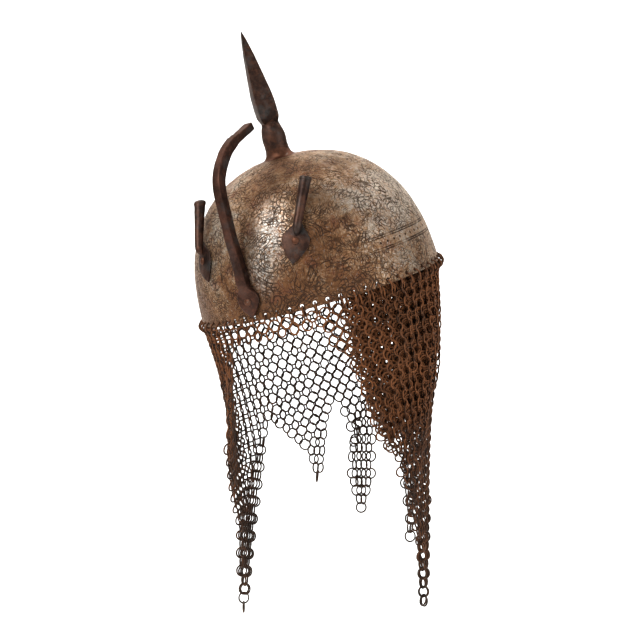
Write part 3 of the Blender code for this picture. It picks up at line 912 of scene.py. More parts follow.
        ground = self.ground(sheet, where, light, zones)
        sheet.put(shader.inputs["Base Color"], sheet.mix(dark, ground, self.deep))
        rough = sheet.weighed(0.24, (grain.outputs["Value"], 0.34), (zones.silver, 0.10), (dark, 0.22))
        sheet.put(shader.inputs["Roughness"], rough)
        sheet.put(shader.inputs["Metallic"], sheet.between(zones.browned, 0.0, 1.0, 0.82, 0.72))
        sheet.put(shader.inputs["Specular Tint"], self.sheen)
        height = sheet.weighed(0.0, (grain.outputs["Height"], 0.6), (lines, -1.0))
        sheet.dent(shader, height, self.bump, self.bump_depth)
        return made


# The bowl


@dataclass(frozen=True)
class SoftMark:
    """A soft mark on the bowl: its bearing in degrees, and its height and two reaches in millimetres."""

    bearing: float
    height: float
    along: float
    up: float
    strength: float

    def cover(self, bearing: np.ndarray, height: np.ndarray, radius: np.ndarray) -> np.ndarray:
        """Gives how strongly the mark covers each point.

        Args:
            bearing: The points' bearings.
            height: Their heights over the rim.
            radius: Their distances from the axis.

        Returns:
            A share for each point.
        """
        turn = (bearing - math.radians(self.bearing) + math.pi) % (2 * math.pi) - math.pi
        across = turn * radius / (self.along * MM)
        rise = (height - self.height * MM) / (self.up * MM)
        return self.strength * np.exp(-(across ** 2 + rise ** 2))


@dataclass
class Bowl:
    """The engraved bowl with its row of rim holes."""

    dome: Dome
    sectors: int = 60
    hole_radius: float = 1.6 * MM
    hole_height: float = 3.3 * MM
    band: float = 7.5 * MM
    rows: int = 136
    inner_rows: int = 40
    side: int = 8
    browned_height: float = 48 * MM
    # Bearings and distances from the axis between which the iron turns pale, at the front, back and crown.
    # Towards the crown the fade is partly the iron's own colour and, out on the shoulder, painted shade that
    # dims the key light's highlight.
    pale_front: tuple[float, float] = (math.radians(50), math.radians(82))
    pale_back: tuple[float, float] = (math.radians(175), math.radians(140))
    pale_crown: tuple[float, float] = (25 * MM, 85 * MM)
    silver_marks: tuple[SoftMark, ...] = (
        SoftMark(19, 73, 11, 13, 0.80),
        SoftMark(15, 57, 11, 15, 1.0),
        SoftMark(9, 37, 8, 13, 1.0),
        SoftMark(84, 62, 30, 26, 0.40),
        # This weak mark lightens the left side, as painted light.
        SoftMark(-20, 80, 20, 24, 0.12),
        SoftMark(-42, 40, 16, 30, 0.30),
    )
    # Painted light: these marks lighten the left side of the bowl by taking from its browned zone.
    painted_light_marks: tuple[SoftMark, ...] = (
        SoftMark(-14, 82, 26, 26, 1.0),
        SoftMark(-24, 45, 20, 26, 0.7),
    )
    # Dark marks: some are the iron's own, and some are painted shadow and shade, as noted below.
    dark_marks: tuple[SoftMark, ...] = (
        SoftMark(50, 79, 9, 8, 0.90),
        SoftMark(22, 100, 15, 8, 0.70),
        SoftMark(-14, 106, 20, 7, 0.30),
        SoftMark(33, 50, 14, 15, 0.40),
        # The front bar's painted shadow and the painted shade in the hollow beside it:
        SoftMark(7.5, 70, 4.5, 12, 0.90),
        SoftMark(5, 55, 5, 12, 0.90),
        SoftMark(0, 33, 6, 14, 0.80),
        SoftMark(4, 12, 26, 9, 0.35),
        SoftMark(60, 14, 30, 9, 0.30),
        # Painted shade that dims the key light's highlight on the shoulder:
        SoftMark(68, 105, 26, 8, 0.60),
        SoftMark(88, 97, 24, 12, 0.60),
        SoftMark(102, 84, 18, 14, 0.40),
    )

    def relief(self, local: np.ndarray) -> np.ndarray:
        """Height of the hammered surface over the true dome."""
        return 0.16 * MM * waves(local, 34 * MM, 11) + 0.05 * MM * waves(local, 9 * MM, 12)

    def marks(self, bearing: np.ndarray, height: np.ndarray) -> dict[str, np.ndarray]:
        """Works out the per-vertex numbers of the finish.

        Args:
            bearing: The points' bearings.
            height: Their heights over the rim.

        Returns:
            The strengths of the silver, stained and painted-shade, browned (less the painted light on the
            left) and pale zones, and places in millimetres.
        """
        radius = self.dome.radius(height)
        turn = (bearing + math.pi) % (2 * math.pi) - math.pi
        silver, stain_and_shade, rubbed = (sum(mark.cover(bearing, height, radius) for mark in marks)
                                 for marks in (self.silver_marks, self.dark_marks, self.painted_light_marks))
        # Taking the painted light marks off the browned zone lightens the bowl's left side, as painted
        # light.
        browned = np.clip(1 - height / self.browned_height, 0, 1) - rubbed
        pale = np.ones_like(radius)
        fades = ((turn, self.pale_front), (turn, self.pale_back), (radius, self.pale_crown))
        for value, (none, full) in fades:
            pale = pale * np.clip((value - none) / (full - none), 0, 1)
        return {"silver": np.clip(silver, 0, 1), "stain_and_shade": np.clip(stain_and_shade, 0, 1), "pale": pale,
                "browned": np.clip(browned, -1, 1), "rise": height / MM,
                "around": bearing * self.dome.rim_radius / MM}

    def place(self, shell: Shell, bearing: np.ndarray, height: np.ndarray, inward: float = 0.0) -> int:
        """Adds points of the hammered outside, or of the plain inside, to a shell.

        Args:
            shell: Where they go.
            bearing: Their bearings.
            height: Their heights over the rim.
            inward: How far in they lie, or 0 for the outside.

        Returns:
            The index of the first new vertex.
        """
        bearing, height = np.broadcast_arrays(bearing, height)
        point, normal = self.dome.surface(bearing, height)
        offset = self.relief(point.reshape(-1, 3)).reshape(bearing.shape)
        if inward:
            offset = np.full(bearing.shape, -inward)
        world = self.dome.world((point + normal * offset[..., None]).reshape(-1, 3))
        return shell.add_points(world, **self.marks(bearing.reshape(-1), height.reshape(-1)))

    def hole_patch(self, bearing: float) -> tuple[np.ndarray, np.ndarray]:
        """Bearings and heights of rings that run from one rim hole out to its patch's edge.

        Args:
            bearing: Where the hole is.

        Returns:
            Two arrays, each with one row per ring.
        """
        half = math.pi / self.sectors
        steps = np.linspace(-1, 1, self.side + 1)[:-1]
        square = [(s, -1) for s in steps] + [(1, s) for s in steps] + [(-s, 1) for s in steps]
        square += [(-1, -s) for s in steps]
        edge = np.array(square)
        edge_turn = bearing + edge[:, 0] * half
        edge_height = (edge[:, 1] + 1) / 2 * self.band
        angle = np.arctan2(edge_height - self.hole_height, (edge_turn - bearing) * self.dome.rim_radius)
        hole_turn = bearing + np.cos(angle) * self.hole_radius / self.dome.rim_radius
        hole_height = self.hole_height + np.sin(angle) * self.hole_radius
        share = np.array([0.0, 0.25, 0.6, 1.0])[:, None]
        return hole_turn + (edge_turn - hole_turn) * share, hole_height + (edge_height - hole_height) * share

    def build(self, material: bpy.types.Material) -> bpy.types.Object:
        """Builds the dome, its inner wall and its rim with real holes.

        Args:
            material: The bowl's finish.

        Returns:
            The bowl.
        """
        shell = Shell()
        columns = self.sectors * self.side
        turns = (np.arange(columns) - self.side / 2) / columns * 2 * math.pi
        heights = self.dome.heights(self.band, self.rows)[:-1]
        for inward, flip in ((0.0, False), (self.dome.wall, True)):
            rows = heights if not inward else self.dome.heights(self.band, self.inner_rows)[:-1]
            first = self.place(shell, turns[None, :], rows[:, None], inward)
            shell.add_grid(len(rows), columns, first, True, flip)
            tip = self.place(shell, np.zeros(1), np.full(1, self.dome.height), inward)
            shell.add_fan(first + (len(rows) - 1) * columns + np.arange(columns), tip, flip)
        for index in range(self.sectors):
            turn, height = self.hole_patch(2 * math.pi * index / self.sectors)
            rings, count = turn.shape
            outer = self.place(shell, turn, height)
            inner = self.place(shell, turn, height, self.dome.wall)
            shell.add_grid(rings, count, outer, True, True)
            shell.add_grid(rings, count, inner, True, False)
            here = np.arange(count)
            after = (here + 1) % count
            shell.add_faces(np.stack([inner + here, inner + after, outer + after, outer + here], 1))
            low = (rings - 1) * count + np.arange(self.side + 1)
            here, after = low[:-1], low[1:]
            shell.add_faces(np.stack([outer + here, outer + after, inner + after, inner + here], 1))
        return dress(shell.build("bowl_shell", 50), material, "bowl_iron", "bowl")


# The fittings


@dataclass(frozen=True)
class Spike:
    """The spike: a turned collar with a flared foot, and a four-sided blade, clenched inside the bowl."""

    dome: Dome
    off_middle: tuple[float, float] = (-2.1 * MM, -1.4 * MM)
    foot_radius: float = 15.5 * MM
    collar_radius: float = 9.7 * MM
    collar_height: float = 30 * MM
    blade_half_width: float = 8 * MM
    blade_length: float = 76 * MM
    blade_lean: tuple[float, float] = (math.radians(-1.4), math.radians(-0.8))
    head_radius: float = 7 * MM
    head_thickness: float = 2 * MM
    gap: float = 0.3 * MM
    fillet: float = 3 * MM
    dent: float = 0.10 * MM
    blade_rust: float = 0.30
    sides: int = 96
    steps: int = 170
    collar: tuple[tuple[float, float, float], ...] = (
        # radius as a share of the collar's, height as a share of its height, rust
        (1.60, 0.000, 1.0),
        (1.38, 0.010, 1.0),
        (1.22, 0.040, 1.0),
        (1.09, 0.100, 0.9),
        (1.00, 0.190, 0.8),
        (0.98, 0.340, 0.6),
        (1.01, 0.500, 0.5),
        (0.98, 0.650, 0.4),
        (0.89, 0.790, 0.35),
        (0.77, 0.900, 0.3),
        (0.74, 0.960, 0.3),
    )
    blade: tuple[tuple[float, float, float], ...] = (
        # half width and height as shares of the blade's, and how round its section is
        (0.72, -0.018, 0.35),
        (0.86, 0.012, 0.20),
        (0.96, 0.040, 0.12),
        (1.00, 0.080, 0.09),
        (1.00, 0.220, 0.07),
        (0.93, 0.330, 0.06),
        (0.80, 0.450, 0.06),
        (0.67, 0.570, 0.06),
        (0.54, 0.690, 0.06),
        (0.38, 0.810, 0.07),
        (0.22, 0.910, 0.08),
        (0.05, 0.995, 0.15),
    )
    head: tuple[tuple[float, float], ...] = (
        # radius and height as shares of the clenched head's, from below
        (0.3, -1.0),
        (0.9, -0.95),
        (1.0, -0.7),
        (1.0, -0.12),
        (0.96, 0.0),
        (0.2, 0.0),
    )

    def rows(self) -> np.ndarray:
        """Reads the collar's and the blade's tables.

        Returns:
            Rows up the spike: radius, height over the crown, roundness of the section and rust.
        """
        collar = [(out * self.collar_radius, up * self.collar_height, 1.0, rust)
                  for out, up, rust in self.collar]
        corner = math.sqrt(2) * self.blade_half_width
        blade = [(out * corner, self.collar_height + up * self.blade_length, soft, self.blade_rust)
                 for out, up, soft in self.blade]
        return smoothed(collar + blade, self.steps)

    def build(self, material: bpy.types.Material) -> bpy.types.Object:
        """Builds the spike.

        Args:
            material: The spike's finish.

        Returns:
            The spike.
        """
        turn = np.arange(self.sides) / self.sides * 2 * math.pi
        radius, height, soft, rust = (column[:, None] for column in self.rows().T)
        power = 1 + np.clip(soft, 0, 1)
        reach = radius / (np.abs(np.cos(turn)) ** power + np.abs(np.sin(turn)) ** power) ** (1 / power)
        over = np.clip(height - self.collar_height, 0, None)
        x = reach * np.cos(turn) + self.off_middle[0] + over * math.sin(self.blade_lean[0])
        y = reach * np.sin(turn) + self.off_middle[1] + over * math.sin(self.blade_lean[1])
        sunk = 1 - (np.hypot(x, y) / self.dome.rim_radius) ** self.dome.fullness
        ground = self.dome.height * sunk ** (1 / self.dome.fullness) - self.dome.height
        z = self.dome.height + height + ground * np.exp(-height / self.fillet)
        points = np.stack([x, y, z], -1)
        dents = self.dent * waves(points.reshape(-1, 3), 11 * MM, 21).reshape(x.shape)
        dents = dents * np.clip(radius / (9 * MM), 0.1, 1)
        points[..., 0] += dents * np.cos(turn)
        points[..., 1] += dents * np.sin(turn)
        shell = Shell()
        shell.add_loft(self.dome.world(points.reshape(-1, 3)).reshape(points.shape), rust[:, 0])
        inside = self.dome.height - self.dome.wall - self.gap
        out, down = np.array(self.head).T[:, :, None]
        rings = np.stack(np.broadcast_arrays(self.head_radius * out * np.cos(turn) + self.off_middle[0],
                                             self.head_radius * out * np.sin(turn) + self.off_middle[1],
                                             inside + down * self.head_thickness), -1)
        shell.add_loft(self.dome.world(rings.reshape(-1, 3)).reshape(rings.shape), np.full(len(rings), 0.4))
        return dress(shell.build("spike_shell", 35), material, "dark_iron", "spike")


@dataclass(frozen=True)
class FrontBar:
    """The curved front bar with its leaf-shaped foot."""

    dome: Dome
    height: float = 147 * MM
    width: float = 7 * MM
    depth: float = 7.2 * MM
    leaf_width: float = 20 * MM
    leaf_thickness: float = 3 * MM
    gap: float = 0.3 * MM
    ledges: tuple[float, ...] = (0.862, 0.888)
    ledge_step: float = 0.8 * MM
    ledge_fade: float = 0.10
    leaf_middle_share: float = 0.112
    # Along the bar from the tip of its leaf: how square its section is, and how rusty its outer face.
    corners: tuple[tuple[float, float], ...] = ((0.0, 3.4), (0.2, 3.4), (0.3, 12.0), (1.0, 12.0))
    outer_rust: tuple[tuple[float, float], ...] = ((0.0, 0.5), (0.2, 0.5), (0.6, 0.3), (0.9, 0.55))
    dent: float = 0.09 * MM
    steps: int = 220
    sides: int = 40
    leaf: tuple[tuple[float, float, float, float], ...] = (
        # out, as a share of where it lies on the bowl, up, width and thickness as shares of the leaf's
        (1.000, 0.025, 0.04, 0.60),
        (1.000, 0.031, 0.16, 0.80),
        (1.001, 0.062, 0.58, 0.95),
        (1.002, 0.090, 0.88, 1.00),
        (1.002, 0.116, 1.00, 1.00),
        (1.003, 0.155, 0.88, 1.15),
    )
    bar: tuple[tuple[float, float, float, float], ...] = (
        # out, as a share of the rim's radius, up, width and depth as shares of the bar's
        (1.018, 0.190, 1.40, 0.76),
        (1.018, 0.225, 1.30, 0.98),
        (1.011, 0.275, 1.22, 1.10),
        (1.004, 0.345, 1.14, 1.12),
        (1.010, 0.450, 1.06, 1.14),
        (1.003, 0.520, 1.00, 1.18),
        (0.992, 0.610, 1.00, 1.24),
        (0.982, 0.693, 1.00, 1.28),
        (0.957, 0.761, 1.00, 1.30),
        (0.912, 0.812, 1.00, 1.30),
        (0.837, 0.862, 1.02, 1.26),
        (0.744, 0.909, 1.06, 1.18),
        (0.617, 0.948, 1.12, 1.08),
        (0.520, 0.968, 1.16, 1.04),
        (0.435, 0.981, 1.18, 1.00),
        (0.335, 0.998, 1.18, 0.98),
    )

    def rows(self) -> np.ndarray:
        """Reads the leaf's and the bar's tables.

        Returns:
            Rows up the bar: distance from the axis, height, width and depth.
        """
        rows = []
        for out, up, width, thick in self.leaf:
            deep = thick * self.leaf_thickness
            radius = float(self.dome.radius(up * self.height)) + self.gap + deep / 2
            rows.append((out * radius, up * self.height, width * self.leaf_width, deep))
        for out, up, width, deep in self.bar:
            radius = out * self.dome.rim_radius
            rows.append((radius, up * self.height, width * self.width, deep * self.depth))
        return smoothed(rows, self.steps)

    def leaf_middle(self) -> tuple[float, float]:
        """Where the leaf's rivet goes: distance from the axis to the leaf's face, and height."""
        up = self.leaf_middle_share * self.height
        return float(self.dome.radius(up)) + self.gap + self.leaf_thickness, up

    def build(self, material: bpy.types.Material) -> bpy.types.Object:
        """Builds the bar as one loft from the tip of its leaf to its blunt end.

        Args:
            material: The bar's finish.

        Returns:
            The bar.
        """
        out, up, width, deep = self.rows().T
        ahead = np.stack([np.zeros_like(out), -np.gradient(out), np.gradient(up)], 1)
        ahead /= np.linalg.norm(ahead, axis=1, keepdims=True)
        across = np.cross(ahead, [1.0, 0.0, 0.0])
        turn = np.arange(self.sides) / self.sides * 2 * math.pi
        share = np.linspace(0, 1, len(out))
        corner, rust = (np.interp(share, *np.transpose(table))[:, None]
                        for table in (self.corners, self.outer_rust))
        side = np.sign(np.cos(turn)) * np.abs(np.cos(turn)) ** (2 / corner) * width[:, None] / 2
        inward = np.sign(np.sin(turn)) * np.abs(np.sin(turn)) ** (2 / corner) * deep[:, None] / 2
        for ledge in self.ledges:
            past = (share - ledge)[:, None]
            step = self.ledge_step * np.exp(-np.clip(past, 0, None) / self.ledge_fade) * (past > 0)
            inward = inward + step * (inward < -0.2 * deep[:, None])
        middle = np.stack([np.zeros_like(out), -out, up], 1)[:, None, :]
        points = middle + side[..., None] * np.array([1.0, 0, 0]) + inward[..., None] * across[:, None, :]
        points[..., 1] += side ** 2 / (2 * self.dome.rim_radius)
        end = np.clip((share - 0.985) / 0.015, 0, 1)[:, None, None]
        points = middle + (points - middle) * (1 - 0.16 * end ** 3)
        dents = self.dent * waves(points.reshape(-1, 3), 13 * MM, 31).reshape(side.shape)
        points += (dents * np.sign(inward))[..., None] * across[:, None, :]
        tone = 0.20 + 0.7 * rust * np.clip(-inward / (0.35 * deep[:, None]), 0, 1)
        shell = Shell()
        shell.add_loft(self.dome.world(points.reshape(-1, 3)).reshape(points.shape), tone)
        return dress(shell.build("front_bar_shell", 32), material, "red_iron", "front_bar")


@dataclass(frozen=True)
class PlumeHolder:
    """A plume holder: a dished leaf with a rolled tube that stands up from it."""

    dome: Dome
    side: int
    bearing: float = math.radians(29)
    height: float = 53 * MM
    splay: float = math.radians(22)
    leaf_width: float = 22 * MM
    leaf_below: float = 18.2 * MM
    leaf_above: float = 16 * MM
    leaf_thickness: float = 2 * MM
    gap: float = 0.3 * MM
    tube_length: float = 41 * MM
    tube_lean: float = math.radians(10)
    tube_bend: float = 0.34
    heel_radius: float = 2 * MM
    foot_radius: float = 3.3 * MM
    waist_radius: float = 3.7 * MM
    mouth_radius: float = 4.65 * MM
    tube_wall: float = 0.5 * MM
    lip: float = 0.35 * MM
    lip_length: float = 2.6 * MM
    socket_depth: float = 30 * MM
    socket_taper: float = 1.2 * MM
    seam_depth: float = 0.12 * MM
    dent: float = 0.06 * MM
    sides: int = 64
    outline: tuple[tuple[float, float], ...] = (
        # height as a share of the leaf's reach under or over its rivet, half width as a share of its own
        (-1.00, 0.03),
        (-0.95, 0.12),
        (-0.86, 0.26),
        (-0.64, 0.56),
        (-0.36, 0.84),
        (-0.08, 0.99),
        (0.20, 0.98),
        (0.46, 0.76),
        (0.70, 0.46),
        (1.00, 0.22),
    )

    def place(self) -> Place:
        """The holder's frame on the bowl, turned so that the tube leans outwards."""
        return Place.on_dome(self.dome, self.side * self.bearing, self.height, -self.side * self.splay)

    def leaf(self, place: Place) -> tuple[np.ndarray, np.ndarray]:
        """Sections of the leaf, from its tip up, in the holder's frame.

        Args:
            place: The holder's frame.

        Returns:
            The sections and their tone.
        """
        rows = [(up * (self.leaf_below if up < 0 else self.leaf_above), half * self.leaf_width / 2)
                for up, half in self.outline]
        up, half = smoothed(rows, 60).T[:, :, None]
        turn = np.arange(self.sides) / self.sides * 2 * math.pi
        x = np.sign(np.sin(turn)) * np.abs(np.sin(turn)) ** 0.75 * half
        full = np.clip(1 - (np.abs(x) / (self.leaf_width / 2)) ** 3, 0, 1)
        edge = 0.55 + 0.45 * full * np.clip(half / (5 * MM), 0, 1)
        rise = np.sign(np.cos(turn)) * np.abs(np.cos(turn)) ** 0.5 * self.leaf_thickness / 2 * edge
        y = np.broadcast_to(up, x.shape)
        z = place.depth(self.dome, x, y) + self.gap + self.leaf_thickness / 2 + rise
        tone = 0.25 + 0.35 * np.exp(-((x / (5 * MM)) ** 2 + (y / (9 * MM)) ** 2))
        return np.stack([x, y, z], -1), tone

    def tube(self) -> tuple[np.ndarray, np.ndarray]:
        """Sections of the tube, up its outside and down inside its socket, in the holder's frame.

        Returns:
            The sections and their tone.
        """
        lift = self.leaf_thickness / 2 + self.foot_radius

        def axis(share: float) -> np.ndarray:
            """Point on the tube's axis at a share of its length."""
            along = share * self.tube_length
            rise = lift * (0.9 + 0.1 * min(share * 3, 1)) - along * math.sin(self.tube_lean)
            return np.array([0, 0.72 * self.leaf_above + along, rise])

        foot, bend, mouth = axis(0.0), axis(self.tube_bend), axis(1.0)
        run = (mouth - bend) / np.linalg.norm(mouth - bend)
        heel = np.array([0, foot[1] - 1.5 * self.foot_radius, self.heel_radius + 0.35 * self.leaf_thickness])
        lip = mouth - run * self.lip_length
        lip_radius, bore = self.mouth_radius + self.lip, self.mouth_radius - self.tube_wall
        root = np.array([0, foot[1] - 2.5 * self.foot_radius, 0.35 * self.leaf_thickness])
        stations = [(*root, 0.6 * self.heel_radius), (*heel, 1.15 * self.heel_radius),
                    (*foot, 1.02 * self.foot_radius), (*bend, self.waist_radius), (*lip, self.mouth_radius)]
        outside = smoothed(stations, 56)
        outside[:4, 3] *= np.array([0.45, 0.75, 0.9, 0.97])
        ease = 0.1 * MM
        round_lip = [(lip_radius - ease, 0.25), (lip_radius, 0.5), (lip_radius, 2.0),
                     (lip_radius - ease, 2.35), (self.mouth_radius, 2.6), (bore + ease, 2.6), (bore, 2.4)]
        top = [(*(lip + run * up * MM), radius) for radius, up in round_lip]
        inside = [(*(mouth - run * down * self.socket_depth), bore - down * self.socket_taper)
                  for down in np.linspace(0.05, 1, 8)]
        rows = np.array([*outside, *top, *inside, (*inside[-1][:3], 0.3 * MM)])
        turn = np.arange(self.sides) / self.sides * 2 * math.pi
        seam = np.exp(-((turn - self.side * 0.9 + math.pi) % (2 * math.pi) - math.pi) ** 2 / 0.006)
        outer = (np.arange(len(rows)) < len(outside) + 4)[:, None]
        radius = rows[:, 3:] - self.seam_depth * seam * outer
        flat = np.stack([np.sin(turn), np.zeros(self.sides), np.cos(turn)], -1)
        points = rows[:, None, :3] + radius[..., None] * flat
        tone = np.where(outer, 0.42 - 0.15 * seam, 0.05)
        return points, tone

    def build(self, material: bpy.types.Material) -> bpy.types.Object:
        """Builds the holder as one piece.

        Args:
            material: The holder's finish.

        Returns:
            The holder.
        """
        place, shell = self.place(), Shell()
        name = "plume_holder_left" if self.side > 0 else "plume_holder_right"
        for points, tone in (self.leaf(place), self.tube()):
            flat = points.reshape(-1, 3)
            flat = flat + self.dent * waves(flat, 8 * MM, 41 + self.side)[:, None] * np.array([0, 0, 1.0])
            shell.add_loft(self.dome.world(place.outward(flat)).reshape(points.shape), tone)
        return dress(shell.build(f"{name}_shell", 40), material, "dark_iron", name)


@dataclass(frozen=True)
class Rivet:
    """A rivet: a domed head over its plate and a flat one behind the bowl."""

    name: str
    place: Place
    over: float
    behind: float
    head_radius: float = 3.1 * MM
    head_height: float = 1.9 * MM
    back_radius: float = 2.6 * MM
    back_thickness: float = 1.0 * MM
    rust: float = 0.95
    sides: int = 40

    def build(self, dome: Dome, material: bpy.types.Material) -> bpy.types.Object:
        """Builds both heads.

        Args:
            dome: The bowl, whose frame the rivet leans with.
            material: The rivet's finish.

        Returns:
            The rivet.
        """
        turn = np.arange(self.sides) / self.sides * 2 * math.pi
        uneven = 1 + 0.05 * np.sin(2 * turn + len(self.name)) + 0.03 * np.sin(3 * turn)
        front = [(0.97, self.over), (1.0, self.over + 0.15 * self.head_height)]
        front += [(math.cos(a), self.over + self.head_height * (0.15 + 0.85 * math.sin(a)))
                  for a in np.linspace(0.15, 1.5, 9)]
        share = self.back_radius / self.head_radius
        back = [(0.8 * share, self.behind - self.back_thickness),
                (share, self.behind - 0.7 * self.back_thickness), (share, self.behind)]
        shell = Shell()
        for rows in (front, back):
            rings = [np.stack([self.head_radius * out * uneven * np.cos(turn),
                               self.head_radius * out * uneven * np.sin(turn), np.full(self.sides, up)], -1)
                     for out, up in rows]
            points = dome.world(self.place.outward(np.array(rings).reshape(-1, 3)))
            shell.add_loft(points.reshape(len(rows), self.sides, 3), np.full(len(rows), self.rust))
        return dress(shell.build(f"{self.name}_shell", 40), material, "dark_iron", self.name)


def build_rivets(dome: Dome, bar: FrontBar, holders: Iterable[PlumeHolder],
                 material: bpy.types.Material) -> None:
    """Sets the rivets of the front bar and of the two plume holders.

    Args:
        dome: The bowl.
        bar: The front bar.
        holders: The plume holders.
        material: The rivets' finish.
    """
    behind = -dome.wall - bar.gap
    for holder in holders:
        name = "plume_holder_rivet_left" if holder.side > 0 else "plume_holder_rivet_right"
        Rivet(name, holder.place(), holder.leaf_thickness + holder.gap, behind).build(dome, material)
    out, up = bar.leaf_middle()
    place = Place(np.array([0, -out, up]), np.array([[1.0, 0, 0], [0, 0, -1], [0, 1, 0]]))
    Rivet("front_bar_rivet", place, 0.0, behind - bar.leaf_thickness - bar.gap).build(dome, material)


# The mail


@dataclass(frozen=True)
class Tail:
    """A hanging point of the mail: columns at the hem, the tip's column, rows, and how late it narrows."""

    low: float
    high: float
    tip: float
    first: int
    last: int
    late: float = 1.0

    def holds(self, row: int, column: float) -> bool:
        """Tells whether the point has a ring at a place.

        Args:
            row: The place's row.
            column: The place's column.

        Returns:
            Whether there is one.
        """
        if not self.first <= row <= self.last:
            return False
        share = ((row - self.first) / (self.last - self.first + 0.6)) ** self.late
        low, high = self.low + (self.tip - self.low) * share, self.high + (self.tip - self.high) * share
        return low - 0.3 <= column <= high + 0.3


@dataclass(frozen=True)
class Fold:
    """A stretch of the mail that hangs double: its columns, its last row and how it is moved inwards."""

    low: float
    high: float
    last: int
    inward: float
    aside: float
    down: float


@dataclass
class Mail:
    """Linked rings that hang from the rim, settled under their own weight."""

    dome: Dome
    rim_rings: int
    hole_height: float
    first_bearing: float = math.radians(42)
    ring_radius: float = 4.4 * MM
    wire: float = 1.5 * MM
    reach: float = 7.6 * MM
    hem_row: int = 16
    face_row: int = 2
    face_column: float = 50.01
    steps: int = 6500
    edge_rows: float = 11.0
    edge_slope: float = 4.0
    upper_rows: int = 11
    # How close two rings side by side may come, by row, in millimetres.
    near_rows: tuple[tuple[float, float], ...] = (
        (0, 10.3), (6, 9.9), (12, 9.4), (16, 8.5), (20, 5.4), (24, 4.4), (36, 3.6))
    # The same for linked rings and for rings two rows apart, and as a share for rings two columns apart.
    near_link: float = 5.2
    near_skip: float = 7.5
    wide_share: float = 1.7
    # Before the mail settles: how far a row lies under the one above it, in millimetres, and narrows.
    drop: float = 6.2
    tail_drop: float = 6.4
    taper: float = 0.004
    # Angle of a ring to the mail's face, by how far apart the rings of its row are.
    turns: tuple[tuple[float, float], ...] = ((3, 50), (6, 34), (10, 21))
    tone: float = 0.43
    tone_spread: float = 0.16
    tone_fade: float = 0.016
    # How much lighter the folds are painted against the shade they hang in.
    fold_painted_light: float = 0.12
    # How much lighter the wire's outer side and darker its inner side is painted, as painted light and
    # shade.
    painted_outward_light: float = 0.45
    size_spread: float = 0.025
    oval_spread: float = 0.03
    fold_sides: tuple[int, int] = (13, 5)
    tails: tuple[Tail, ...] = (
        Tail(0.0, 15.2, 9.0, 17, 41, 1.7),
        Tail(13.4, 15.8, 14.6, 17, 24, 1.2),
        Tail(17.0, 23.4, 19.2, 17, 35, 1.6),
        Tail(25.4, 29.5, 27.4, 17, 31, 6.0),
        Tail(30.0, 30.6, 30.2, 17, 17, 9.0),
        Tail(31.2, 37.0, 31.8, 17, 26, 0.9),
        Tail(37.6, 50.0, 38.2, 17, 38, 1.0),
    )
    folds: tuple[Fold, ...] = (
        Fold(0.0, 16.0, 19, 3.0 * MM, 0.50, 2.9 * MM),
        Fold(0.0, 16.0, 19, 6 * MM, 0.20, 5.6 * MM),
        Fold(0.0, 15.0, 18, 9 * MM, 0.75, -1.8 * MM),
        Fold(0.5, 14.5, 17, 13 * MM, 0.95, 1.2 * MM),
        Fold(0.5, 14.5, 17, 17 * MM, 0.35, 3.9 * MM),
    )
    index: dict[tuple[int, float], int] = field(default_factory=dict)

    def hangs(self, row: int, column: float) -> bool:
        """Tells whether the mail has a ring at a place.

        Args:
            row: The place's row.
            column: The place's column.

        Returns:
            Whether there is one.
        """
        column %= self.rim_rings
        if column > self.face_column:
            return row <= max(self.face_row, self.edge_rows - self.edge_slope * (self.rim_rings - column))
        if row <= self.hem_row:
            return True
        return any(tail.holds(row, column) for tail in self.tails)

    def lay_out(self) -> tuple[np.ndarray, dict[str, np.ndarray]]:
        """Numbers the rings and lists which of them pull on each other.

        Returns:
            Row and column of each ring, and pairs of rings by kind of pull.
        """
        count = self.rim_rings
        places: list[tuple[int, float]] = []
        for row in range(max(tail.last for tail in self.tails) + 1):
            for column in np.arange(count) + (row % 2) * 0.5:
                above = [(row - 1, (column + side) % count) in self.index for side in (-0.5, 0.5)]
                if self.hangs(row, column) and (row == 0 or any(above)):
                    self.index[(row, column)] = len(places)
                    places.append((row, column))
        pairs: dict[str, list[tuple[int, int]]] = {"link": [], "row": [], "wide": [], "skip": []}
        for (row, column), ring in self.index.items():
            reach = [("link", row + 1, -0.5), ("link", row + 1, 0.5), ("skip", row + 2, 0.0)]
            if row:
                reach += [("row", row, 1.0), ("wide", row, 2.0)]
            for kind, other_row, aside in reach:
                other = self.index.get((other_row, (column + aside) % count))
                if other is not None:
                    pairs[kind].append((ring, other))
        return np.array(places), {kind: np.array(found) for kind, found in pairs.items()}

    def rim_places(self, column: np.ndarray) -> np.ndarray:
        """Places the rings that pass through the rim holes.

        Args:
            column: Their columns.

        Returns:
            Their middles in the bowl's frame.
        """
        bearing = self.first_bearing + column * 2 * math.pi / self.rim_rings
        radius = self.dome.rim_radius - self.dome.wall / 2
        height = np.full(len(bearing), self.hole_height - self.ring_radius)
        return np.stack([radius * np.sin(bearing), -radius * np.cos(bearing), height], 1)

    def settle(self, places: np.ndarray, pairs: dict[str, np.ndarray]) -> np.ndarray:
        """Lets the rings fall until they rest, with a fast inertial relaxation.

        Args:
            places: Row and column of each ring.
            pairs: Pairs of rings by kind of pull.

        Returns:
            The rings' middles in the world, in millimetres.
        """
        row = places[:, 0]
        here = self.dome.world(self.rim_places(places[:, 1])) / MM
        here[:, 2] -= row * self.drop
        here[:, :2] *= (1 - self.taper * row)[:, None]
        near_row, near_wide = (np.interp(row[pairs[kind][:, 0]], *np.transpose(self.near_rows))
                               for kind in ("row", "wide"))
